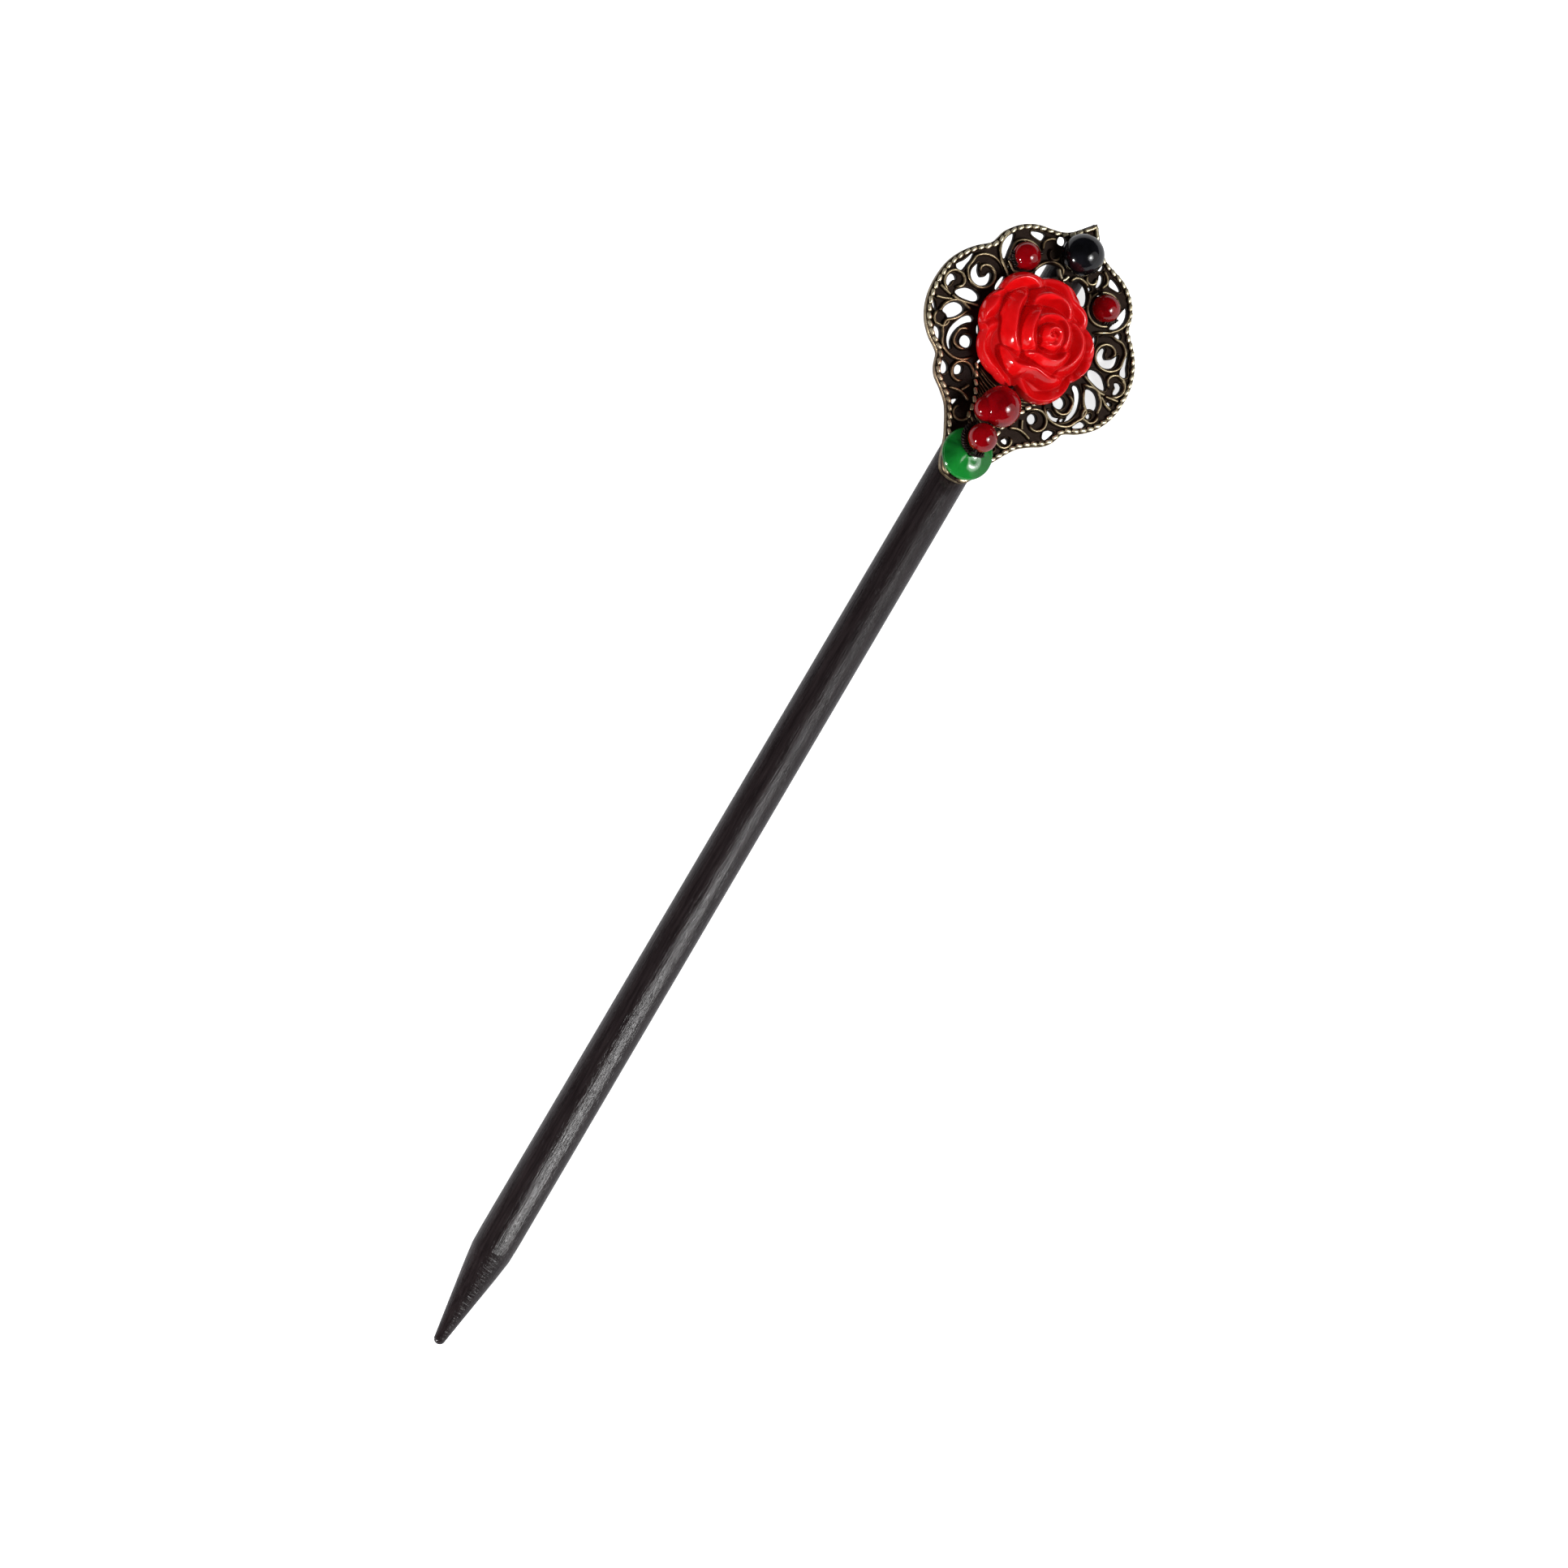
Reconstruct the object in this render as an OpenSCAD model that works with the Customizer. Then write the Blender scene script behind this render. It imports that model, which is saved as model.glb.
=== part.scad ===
// Hair stick: a lacquered wooden stick with a pierced brass head, a resin rose and tied-on beads.
// Millimetres. The stick lies along Y with its blunt tip at -Y, +Z is up, and z = 0 is the
// surface that it lies on. The head rolls to the right until its wing meets that surface.

/* [Stick] */
// length over everything, blunt tip to the point of the head
overall_l = 176.6; // [150:0.1:210]
// diameter of the straight stick
stick_d = 5.7; // [4:0.1:8]
// length of the tapered end
taper_l = 14; // [6:0.5:30]
// diameter of the blunt round tip
tip_d = 1.6; // [1:0.1:3]
// how much thinner the stick is where the head begins, on the radius
shank_cut = 0.05; // [0.02:0.01:0.2]
// how far the stick runs under the head, from the end of the tab
glue_l = 34.2; // [26:0.1:36]
// depth of the flat filed on the stick under the head
flat_h = 0.5; // [0.3:0.05:1.2]

/* [Filigree head] */
// width of the brass head across its large lobes
head_w = 31.5; // [26:0.1:40]
// thickness of the plate, back to recessed floor
plate_t = 1.2; // [0.8:0.05:2]
// height of the scroll lines above the floor
ridge_h = 0.4; // [0.2:0.05:0.8]
// width of the scroll lines
ridge_w = 0.34; // [0.2:0.02:0.6]
// width of the border's rope beads
rope_w = 0.56; // [0.3:0.02:0.9]
// spacing of the rope beads along the border
rope_pitch = 1.08; // [0.8:0.02:1.6]
// part of that spacing that a bead fills
rope_fill = 0.74; // [0.5:0.02:0.9]
// how far the head was glued out of line with the stick, in degrees
head_turn = 0.5; // [0:0.1:3]
// how far the head was glued to the left of the stick's middle
head_in = 0.25; // [0:0.05:1]

/* [Rose] */
// width of the rose
rose_d = 17.5; // [12:0.1:20]
// height of the rose
rose_h = 7.4; // [5:0.1:10]
// how far the large bead's tip reaches in under the rose's rim
rose_tuck = 0.18; // [0:0.02:0.4]
// wall of each petal at its lip
petal_t = 0.55; // [0.3:0.05:1]

/* [Beads] */
// black bead
black_d = 5.8; // [4:0.1:7]
// distance of the black bead from the point of the head
black_in = 5.3; // [4:0.1:7]
// room between the rose and the black bead
black_gap = 1.75; // [1:0.05:3]
// direction of the black bead's hole, in degrees
black_turn = 25; // [0:1:90]
// two side beads
side_d = 3.9; // [3:0.1:5]
// distance between the two side beads
side_span = 13.3; // [11:0.1:15]
// room between the rose and the side beads
side_gap = 0.5; // [0.1:0.05:1]
// direction of the side beads' wires, in degrees
wire_turn = 43; // [0:1:90]
// large bead
large_d = 5.7; // [4:0.1:6.5]
// round lobe on the side of the large bead
lobe_d = 3.6; // [3:0.1:5]
// how far the lobe's middle lies to the left of the bead's
lobe_out = 1.5; // [0.6:0.1:2]
// how far the lobe's middle lies from the bead's toward the tab
lobe_back = 1.2; // [0:0.1:1.5]
// small round bead below it
small_d = 4; // [3:0.1:5]
// green disc
disc_d = 7.2; // [5:0.1:9]
// green disc, thickness in the middle
disc_t = 1.7; // [1:0.1:3]
// green disc, thickness at its rim
disc_rim = 0.7; // [0.4:0.05:1.5]
// distance of the green disc's centre from the end of the tab
disc_y = 4; // [3:0.05:6]
// width of the gap that carries a round bead, as a part of the bead
seat_part = 0.86; // [0.6:0.02:0.95]

/* [Wires and fits] */
// diameter of the dark wires
wire_d = 0.5; // [0.3:0.05:0.8]
// room round a wire in a drilled hole
wire_clear = 0.15; // [0.05:0.05:0.3]
// room between pieces that lie on each other
seat_gap = 0.08; // [0.03:0.01:0.2]

/* [Hidden] */

stick_r = stick_d / 2;
seat_r = stick_r - flat_h;
half_w = head_w / 2;
rose_r = rose_d / 2;
wire_r = wire_d / 2;
hole_r = wire_r + wire_clear;

// places along the head, from the end of the tab: each piece follows from the one before it
small_y = disc_y + wire_r + small_d / 2;
large_y = small_y + small_d / 2 + seat_gap + large_d / 2;
centre_end = large_y + large_d / 2 + wire_r + seat_gap;
rose_y = large_y + large_d / 2 - rose_tuck + rose_r;
side_x = side_span / 2;
side_y = rose_y + sqrt(pow(rose_r + side_gap + side_d / 2, 2) - pow(side_x, 2));
black_y = rose_y + rose_r + black_gap + black_d / 2;
head_l = black_y + black_in;

tab_y = overall_l - head_l;
stick_l = tab_y + glue_l;
floor_z = seat_r + seat_gap + plate_t;
ridge_z = floor_z + ridge_h;
far = 3 * head_l;
curve_fn = 96;
wire_fn = 24;
seat_fn = 32;
hole_fn = 12;
// slits and steps in the plate thinner than this are closed, as in a casting
sliver = 0.18 * ridge_w;
// the centre wire runs along the head
centre_turn = 90;

// colours
wood = [0.10, 0.09, 0.09];
brass = [0.55, 0.47, 0.30];
coral = [0.82, 0.05, 0.06];
ruby = [0.55, 0.03, 0.06];
onyx = [0.08, 0.08, 0.09];
jade = [0.20, 0.55, 0.22];
iron = [0.15, 0.13, 0.13];

// right half of the head's outline, tab to point
// columns: part of the half width, part of the head's length
OUTLINE = [
    [0, 0], [0.105, 0.008], [0.163, 0.036], [0.199, 0.076], [0.236, 0.115], [0.277, 0.145],
    [0.327, 0.179], [0.384, 0.21], [0.484, 0.242], [0.566, 0.263], [0.616, 0.287], [0.642, 0.312],
    [0.66, 0.332], [0.711, 0.348], [0.786, 0.365], [0.874, 0.396], [0.937, 0.432], [0.981, 0.477],
    [1, 0.528], [0.994, 0.585], [0.965, 0.631], [0.906, 0.676], [0.83, 0.713], [0.761, 0.737],
    [0.717, 0.757], [0.698, 0.78], [0.676, 0.808], [0.61, 0.844], [0.528, 0.871], [0.434, 0.889],
    [0.321, 0.9], [0.233, 0.911], [0.157, 0.93], [0.082, 0.963], [0.022, 0.991]
];

// pierced gaps, each a smooth closed outline
// columns: side (0 both, 1 right, -1 left), then points: part of half width, part of length
GAPS = [
    [0, [[0.594, 0.657], [0.575, 0.634], [0.591, 0.614], [0.639, 0.6], [0.7, 0.601],
        [0.748, 0.614], [0.767, 0.634], [0.754, 0.658], [0.738, 0.665], [0.716, 0.646], [0.687, 0.634],
        [0.661, 0.63], [0.636, 0.639], [0.62, 0.658]]],
    [0, [[0.131, 0.892], [0.147, 0.905], [0.179, 0.909], [0.211, 0.903], [0.22, 0.891],
        [0.208, 0.878], [0.176, 0.873], [0.144, 0.878]]],
    [0, [[0.351, 0.87], [0.403, 0.87], [0.473, 0.856], [0.466, 0.845], [0.409, 0.842],
        [0.358, 0.846]]],
    [1, [[0.243, 0.862], [0.278, 0.861], [0.3, 0.84], [0.288, 0.819], [0.265, 0.817],
        [0.252, 0.84]]],
    [1, [[0.208, 0.801], [0.224, 0.807], [0.243, 0.803], [0.243, 0.795], [0.224, 0.791]]],
    [0, [[0.064, 0.784], [0.083, 0.799], [0.134, 0.803], [0.198, 0.794], [0.249, 0.771],
        [0.268, 0.744], [0.23, 0.732], [0.153, 0.744]]],
    [0, [[0.604, 0.816], [0.636, 0.796], [0.645, 0.771], [0.629, 0.747], [0.597, 0.729],
        [0.562, 0.722], [0.553, 0.732], [0.565, 0.759], [0.572, 0.786], [0.585, 0.807]]],
    [1, [[0.633, 0.711], [0.687, 0.711], [0.681, 0.725], [0.649, 0.73]]],
    [-1, [[0.435, 0.713], [0.47, 0.72], [0.502, 0.717], [0.502, 0.708], [0.46, 0.703]]],
    [0, [[0.479, 0.676], [0.508, 0.666], [0.518, 0.639], [0.508, 0.622], [0.486, 0.622],
        [0.473, 0.649]]],
    [0, [[0.821, 0.686], [0.85, 0.663], [0.869, 0.645], [0.898, 0.629], [0.907, 0.618],
        [0.885, 0.609], [0.847, 0.609], [0.827, 0.622], [0.821, 0.644], [0.812, 0.663]]],
    [0, [[0.84, 0.577], [0.875, 0.588], [0.911, 0.582], [0.92, 0.565], [0.904, 0.548],
        [0.875, 0.542], [0.863, 0.553], [0.863, 0.565]]],
    [0, [[0.581, 0.561], [0.601, 0.575], [0.658, 0.58], [0.716, 0.575], [0.757, 0.563],
        [0.792, 0.548], [0.792, 0.536], [0.741, 0.532], [0.671, 0.536], [0.613, 0.544]]],
    [0, [[0.645, 0.501], [0.671, 0.515], [0.728, 0.515], [0.776, 0.502], [0.808, 0.482],
        [0.808, 0.462], [0.767, 0.458], [0.735, 0.451], [0.706, 0.457], [0.677, 0.474]]],
    [1, [[0.76, 0.432], [0.776, 0.446], [0.799, 0.443], [0.805, 0.432], [0.786, 0.424]]],
    [1, [[0.869, 0.509], [0.888, 0.516], [0.911, 0.512], [0.911, 0.504], [0.888, 0.5],
        [0.872, 0.502]]],
    [-1, [[0.863, 0.453], [0.901, 0.473], [0.936, 0.479], [0.923, 0.464], [0.888, 0.452]]],
    [0, [[0.534, 0.496], [0.572, 0.501], [0.62, 0.486], [0.655, 0.459], [0.674, 0.43],
        [0.665, 0.4], [0.633, 0.378], [0.591, 0.365], [0.575, 0.372], [0.61, 0.391], [0.623, 0.418],
        [0.61, 0.447], [0.575, 0.469], [0.534, 0.484]]],
    [1, [[0.607, 0.37], [0.55, 0.356], [0.492, 0.354], [0.447, 0.365], [0.441, 0.376],
        [0.473, 0.378], [0.518, 0.371], [0.562, 0.376], [0.601, 0.391]]],
    [0, [[0.438, 0.42], [0.46, 0.436], [0.505, 0.44], [0.543, 0.43], [0.55, 0.413],
        [0.527, 0.399], [0.479, 0.397], [0.447, 0.405]]],
    [0, [[0.419, 0.459], [0.441, 0.479], [0.473, 0.494], [0.479, 0.482], [0.454, 0.464]]],
    [0, [[0.281, 0.405], [0.304, 0.4], [0.319, 0.383], [0.31, 0.373], [0.291, 0.381]]],
    [1, [[0.173, 0.366], [0.192, 0.359], [0.195, 0.342], [0.179, 0.339], [0.169, 0.351]]],
    [-1, [[0.39, 0.327], [0.412, 0.343], [0.454, 0.339], [0.466, 0.322], [0.438, 0.305],
        [0.403, 0.312]]],
    [1, [[0.316, 0.322], [0.332, 0.337], [0.371, 0.339], [0.399, 0.327], [0.396, 0.312],
        [0.367, 0.302], [0.329, 0.307]]],
    [0, [[0.511, 0.31], [0.543, 0.323], [0.591, 0.326], [0.581, 0.307], [0.556, 0.286],
        [0.524, 0.284], [0.505, 0.297]]],
    [-1, [[0.3, 0.241], [0.326, 0.236], [0.348, 0.226], [0.329, 0.216], [0.307, 0.22]]],
    [1, [[0.217, 0.205], [0.24, 0.219], [0.272, 0.217], [0.281, 0.206], [0.262, 0.198],
        [0.23, 0.198]]],
    [1, [[0.16, 0.174], [0.188, 0.173], [0.204, 0.162], [0.192, 0.156], [0.169, 0.161]]],
    [0, [[0.706, 0.381], [0.732, 0.4], [0.767, 0.409], [0.802, 0.405], [0.786, 0.388],
        [0.744, 0.375], [0.716, 0.371]]]
];

// scrolls of the right half
// columns: part of half width, part of length, outer and inner radius in parts of half width,
// start and sweep in degrees
SCROLLS = [
    [0.233, 0.209, 0.085, 0.044, 165, 255],
    [0.393, 0.318, 0.113, 0.06, 170, -310],
    [0.509, 0.422, 0.25, 0.155, 75, -225],
    [0.522, 0.418, 0.098, 0.08, 100, -240],
    [0.777, 0.439, 0.079, 0.05, 40, -280],
    [0.836, 0.57, 0.113, 0.046, -100, 360],
    [0.66, 0.644, 0.173, 0.03, 150, -550],
    [0.192, 0.829, 0.053, 0.038, 45, -240]
];

// scroll stems of the right half, each a line of points: part of half width, part of length
STEMS = [
    [[0.21, 0.25], [0.277, 0.263], [0.352, 0.264], [0.434, 0.255]],
    [[0.28, 0.3], [0.3, 0.283], [0.324, 0.269]],
    [[0.585, 0.513], [0.648, 0.518], [0.717, 0.515], [0.786, 0.494], [0.824, 0.467], [0.838, 0.452]],
    [[0.541, 0.543], [0.616, 0.534], [0.692, 0.525], [0.767, 0.521], [0.82, 0.525]],
    [[0.78, 0.513], [0.855, 0.499], [0.93, 0.489]],
    [[0.811, 0.52], [0.89, 0.526], [0.945, 0.53]],
    [[0.44, 0.678], [0.522, 0.698], [0.591, 0.717], [0.629, 0.749], [0.642, 0.786], [0.616, 0.823]],
    [[0.063, 0.784], [0.1, 0.797], [0.145, 0.801], [0.189, 0.791], [0.239, 0.764], [0.277, 0.737]],
    [[0.164, 0.882], [0.226, 0.878], [0.296, 0.867], [0.333, 0.845], [0.308, 0.818]],
    [[0, 0.782], [0.02, 0.795], [0.038, 0.811]]
];

// edge of the ribbed tongue under the beads: part of half width, part of length
TONGUE = [[0.15, 0.2], [0.165, 0.25], [0.192, 0.283], [0.233, 0.313], [0.277, 0.345], [0.325, 0.38]];
tongue_ribs = 6;

// petals of the rose, outer ring to bud, each an oval shell
// columns: middle of the lip and the direction it faces in degrees, half depth and half width,
// all in parts of the rose's radius, and the lip's height in parts of the rose's height
PETALS = [
    [-1, 0.04, 178, 0.44, 0.5, 0.4], [-0.8, 0.69, 138, 0.42, 0.42, 0.48],
    [-0.12, 0.97, 98, 0.42, 0.48, 0.41], [0.5, 0.74, 50, 0.36, 0.33, 0.37],
    [0.97, 0.1, 6, 0.46, 0.5, 0.43], [0.63, -0.84, -54, 0.48, 0.48, 0.4],
    [-0.66, -0.72, -134, 0.44, 0.5, 0.42], [-0.22, -0.905, -105, 0.36, 0.36, 0.36],
    [-0.52, 0.04, 203, 0.26, 0.56, 0.7], [-0.1, 0.69, 97, 0.34, 0.4, 0.62],
    [0.66, 0.14, 8, 0.36, 0.44, 0.64], [0.2, -0.56, -84, 0.32, 0.44, 0.62],
    [-0.4, -0.54, -130, 0.3, 0.36, 0.55],
    [-0.3, 0.04, 194, 0.24, 0.38, 0.86], [0.07, 0.4, 90, 0.24, 0.32, 0.83],
    [0.41, -0.02, -4, 0.24, 0.32, 0.81], [0.14, -0.26, -74, 0.2, 0.38, 0.77],
    [-0.08, 0.1, 165, 0.17, 0.24, 0.96], [0.2, 0.21, 35, 0.17, 0.24, 0.93],
    [0.13, -0.1, -80, 0.16, 0.22, 0.91]
];

// curves and outlines

// point at t between b and c of the smooth curve through a, b, c and d
function between(a, b, c, d, t) =
    0.5 * (2 * b + (c - a) * t + (2 * a - 5 * b + 4 * c - d) * t * t + (3 * b - a - 3 * c + d) * t * t * t);

// smooth curve through a list of points, with n steps from each to the next
function smooth(p, n) = [
    for (i = [0 : len(p) - 2], k = [0 : n - 1])
        between(p[max(i - 1, 0)], p[i], p[i + 1], p[min(i + 2, len(p) - 1)], k / n),
    p[len(p) - 1]
];

// place in the head from parts of its half width and length
function head_at(q) = [q[0] * half_w, q[1] * head_l];

// lengths run along a line of points, 0 at its start
function runs(p, i = 0, at = 0) = i == len(p) - 1 ? [at]
    : concat([at], runs(p, i + 1, at + norm(p[i + 1] - p[i])));

// direction of travel at each point of a line
function heading(p, i) = let (d = p[min(i + 1, len(p) - 1)] - p[max(i - 1, 0)]) atan2(d[1], d[0]);

// the two sides of a band of width w along a line, its ends narrowed
function band(p, w) = let (
    n = len(p) - 1,
    r = [for (i = [0 : n]) w / 2 * min(1, 0.45 + 2.5 * min(i, n - i) / n)]
) concat(
    [for (i = [0 : n]) let (a = heading(p, i)) p[i] + r[i] * [-sin(a), cos(a)]],
    [for (i = [n : -1 : 0]) let (a = heading(p, i)) p[i] - r[i] * [-sin(a), cos(a)]]
);

// spiral line: the radius falls slowly at first and faster toward the middle
function scroll_line(s) = let (c = head_at(s), steps = ceil(abs(s[5]) / 30)) [
    for (i = [0 : steps]) let (t = i / steps, r = half_w * (s[2] - (s[2] - s[3]) * pow(t, 1.6)), a = s[4] + s[5] * t)
        c + r * [cos(a), sin(a)]
];

// smooth closed line through a list of points, with n steps from each to the next
function closed(p, n) = let (m = len(p)) [
    for (i = [0 : m - 1], k = [0 : n - 1])
        between(p[(i + m - 1) % m], p[i], p[(i + 1) % m], p[(i + 2) % m], k / n)
];

half_line = smooth([for (q = OUTLINE) head_at(q)], 2);
head_line = concat(
    half_line,
    [[0, head_l]],
    [for (i = [len(half_line) - 1 : -1 : 1]) [-half_line[i][0], half_line[i][1]]]
);

// places in the head

// the head is turned about the middle of its glued length and rolled until its wing lies on z = 0
turn_y = tab_y + (stick_l - tab_y) / 2;
function turned(p) = [
    p[0] * cos(head_turn) - (p[1] + tab_y - turn_y) * sin(head_turn) - head_in,
    p[0] * sin(head_turn) + (p[1] + tab_y - turn_y) * cos(head_turn)
];
wing_x = max([for (p = head_line) turned(p)[0]]);
reach = norm([wing_x, seat_r + seat_gap]);
roll = asin(stick_r / reach) + atan2(seat_r + seat_gap, wing_x);

// the box of the whole part, whose bottom centre is the origin
function rolled(p, z) = let (q = turned(p)) [q[0] * cos(roll) + z * sin(roll), q[1] + turn_y];
low_line = [for (p = head_line) rolled(p, seat_r + seat_gap)];
high_line = [for (p = head_line) rolled(p, floor_z)];
box_x = (min([for (p = low_line) p[0]]) + max([for (p = high_line) p[0]])) / 2;
box_y = max([for (p = high_line) p[1]]) / 2;

// how many of the petals make the outline, height of the ground between petals and the
// width over which a petal's inside falls
outer_petals = 8;
rose_floor = 0.14;
cup_in = 3 * petal_t;

// centre of a round bead that lies in a round gap of the plate
function sunk_z(d) = floor_z + sqrt(pow(d / 2 + seat_gap, 2) - pow(d / 2 * seat_part, 2));

// the green disc lies on the tab's rim, and the small bead on the disc
disc_z = ridge_z + seat_gap;
disc_dome = disc_t - disc_rim;
disc_cap_r = (pow(disc_d / 2, 2) + pow(disc_dome, 2)) / (2 * disc_dome);
disc_cap_z = disc_z + disc_t - disc_cap_r;
thread_z = disc_cap_z + sqrt(pow(disc_cap_r + small_d / 2 + seat_gap, 2) - pow(small_y - disc_y, 2));

// wires: columns: x and y of the bead's middle, direction, height of the hole, reach to each side
side_reach = side_d / 2 + wire_r + seat_gap;
RIGHT_WIRE = [side_x, side_y, -wire_turn, sunk_z(side_d), side_reach];
LEFT_WIRE = [-side_x, side_y, wire_turn, sunk_z(side_d), side_reach];

module in_part() {
    translate([-box_x, -box_y, 0]) children();
}

// the head's own frame: the stick's axis is z = 0 and the end of the tab is y = 0
module in_head() {
    in_part()
    translate([0, turn_y, stick_r])
    rotate([0, roll, 0])
    translate([-head_in, 0, 0])
    rotate([0, 0, head_turn])
    translate([0, tab_y - turn_y, 0])
    children();
}

// stick

module stick() {
    color(wood)
    difference() {
        in_part()
        translate([0, 0, stick_r])
        rotate([-90, 0, 0]) {
            translate([0, 0, tip_d / 2]) sphere(d = tip_d, $fn = curve_fn);
            translate([0, 0, tip_d / 2])
                cylinder(d1 = tip_d, d2 = stick_d, h = taper_l - tip_d / 2, $fn = curve_fn);
            translate([0, 0, taper_l]) cylinder(d = stick_d, h = tab_y - taper_l, $fn = curve_fn);
            translate([0, 0, tab_y])
                cylinder(r1 = stick_r - shank_cut, r2 = stick_r, h = stick_l - tab_y, $fn = curve_fn);
        }
        in_head()
        translate([-stick_d, -stick_r, seat_r])
        cube([2 * stick_d, far, stick_d]);
    }
}

// filigree head

module both_sides() {
    children();
    mirror([1, 0]) children();
}

module wire_holes() {
    for (w = [RIGHT_WIRE, LEFT_WIRE], s = [-1, 1])
        translate([w[0] + s * w[4] * cos(w[2]), w[1] + s * w[4] * sin(w[2])])
        circle(r = hole_r, $fn = hole_fn);
    for (y = [disc_y, centre_end])
        translate([0, y]) circle(r = hole_r, $fn = hole_fn);
}

module bead_seats() {
    translate([0, black_y]) circle(d = black_d * seat_part, $fn = seat_fn);
    both_sides() translate([side_x, side_y]) circle(d = side_d * seat_part, $fn = seat_fn);
}

// closes what is thinner than a sliver and leaves one clean outline
module cast_clean() {
    offset(delta = -sliver / 2) offset(delta = sliver / 2) children();
}

module plate_shape() {
    cast_clean()
    difference() {
        polygon(head_line);
        for (g = GAPS, m = [-1, 1])
            if (g[0] != -m) scale([m, 1]) polygon(closed([for (q = g[1]) head_at(q)], 2));
        bead_seats();
        wire_holes();
    }
}

module ring(d, w) {
    difference() {
        circle(d = d + w, $fn = seat_fn);
        circle(d = d - w, $fn = seat_fn);
    }
}

module scroll_lines() {
    both_sides() {
        for (s = SCROLLS) polygon(band(scroll_line(s), ridge_w));
        for (s = STEMS) polygon(band(smooth([for (q = s) head_at(q)], 2), ridge_w));
        translate([side_x, side_y]) ring(side_d * seat_part + 4 * ridge_w, ridge_w);
        for (i = [0 : tongue_ribs - 1]) let (
            t = i / tongue_ribs,
            edge = smooth([for (q = TONGUE) head_at(q)], tongue_ribs),
            e = edge[round(t * (len(edge) - 1)) + 2]
        ) polygon(band([[0, e[1] - ridge_w * 4], [e[0] / 2, e[1] - ridge_w * 2.6], e * 0.98], ridge_w));
    }
    translate([0, black_y]) ring(black_d * seat_part + 2 * ridge_w, ridge_w);
}

// room for a bead that lies in a round gap, as wide as the bead is at the top of the scroll lines
function bead_room(d) = sqrt(pow(d / 2 + seat_gap, 2) - pow(sunk_z(d) - ridge_z, 2));

module bead_rooms() {
    translate([0, black_y]) circle(r = bead_room(black_d), $fn = seat_fn);
    both_sides() translate([side_x, side_y]) circle(r = bead_room(side_d), $fn = seat_fn);
}

// a row of rope beads along a line, from run a to run b
module rope(line, a, b) {
    run = runs(line);
    xs = [for (i = [0 : len(line) - 1]) [run[i], line[i][0]]];
    ys = [for (i = [0 : len(line) - 1]) [run[i], line[i][1]]];
    long = rope_pitch * rope_fill;
    count = round((b - a) / rope_pitch);
    for (i = [0 : count - 1]) let (
        s = a + (i + 0.5) * (b - a) / count,
        p = [lookup(s, xs), lookup(s, ys)],
        q = [lookup(s + long / 4, xs), lookup(s + long / 4, ys)] - p
    ) translate(p) rotate(atan2(q[1], q[0]))
        polygon([
            [-long / 2, 0], [-long / 4, rope_w / 2], [long / 4, rope_w / 2],
            [long / 2, 0], [long / 4, -rope_w / 2], [-long / 4, -rope_w / 2]
        ]);
}

module borders() {
    inset = rope_w * 0.75;
    n = len(half_line) - 1;
    rim = [for (i = [0 : n]) let (a = heading(half_line, i)) half_line[i] + inset * [-sin(a), cos(a)]];
    total = runs(rim)[n];
    tab_run = disc_y;
    both_sides() {
        rope(rim, tab_run, total - inset);
        rope(smooth([for (q = TONGUE) head_at(q)], 3), 0, rose_y - rose_d / 2);
    }
    both_sides() polygon(band([for (i = [0 : 2 * 3]) rim[i]], ridge_w));
}

module filigree() {
    color(brass)
    in_head() {
        translate([0, 0, seat_r + seat_gap]) linear_extrude(plate_t) plate_shape();
        translate([0, 0, seat_r + seat_gap + plate_t / 2])
        linear_extrude(plate_t / 2 + ridge_h)
        cast_clean()
        intersection() {
            offset(delta = -sliver) difference() {
                plate_shape();
                bead_rooms();
            }
            union() {
                scroll_lines();
                borders();
            }
        }
    }
}

// rose

// point seen from the middle of a petal, along and across the way that it faces
function in_petal(q, x, y) = let (
    px = x - (q[0] - q[3] * cos(q[2])) * rose_r,
    py = y - (q[1] - q[3] * sin(q[2])) * rose_r
) [px * cos(q[2]) + py * sin(q[2]), py * cos(q[2]) - px * sin(q[2])];

// height of one petal over a point: a rounded lip, a shallow cup inside and a slope outside
function petal_z(q, x, y) = let (
    p = in_petal(q, x, y),
    part = norm([p[0] / q[3], p[1] / q[4]]) / rose_r + 0.001,
    inside = norm(p) * (1 / part - 1),
    out = max(0, petal_t / 2 - inside),
    cup = min(cup_in, max(0, inside - petal_t)),
    side = p[1] / (q[4] * rose_r)
) inside < -2 * petal_t ? 0
    : rose_h * (q[5] - 0.07 * side * side) - 0.62 * cup - 0.8 * out - 0.83 * out * out / petal_t;

function rose_z(x, y) = max(concat([rose_h * rose_floor], [for (q = PETALS) petal_z(q, x, y)]));

// distance from the rose's centre to the far side of an outer petal, in a direction
function petal_edge(q, a) = let (
    c = -in_petal(q, 0, 0),
    m = [q[3] * rose_r, q[4] * rose_r],
    d = [cos(a - q[2]) / m[0], sin(a - q[2]) / m[1]],
    e = [c[0] / m[0], c[1] / m[1]],
    root = pow(d * e, 2) - (d * d) * (e * e - 1)
) root < 0 ? 0 : (d * e + sqrt(root)) / (d * d);
function rose_edge(a) = max([for (i = [0 : outer_petals - 1]) petal_edge(PETALS[i], a)]);

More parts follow.
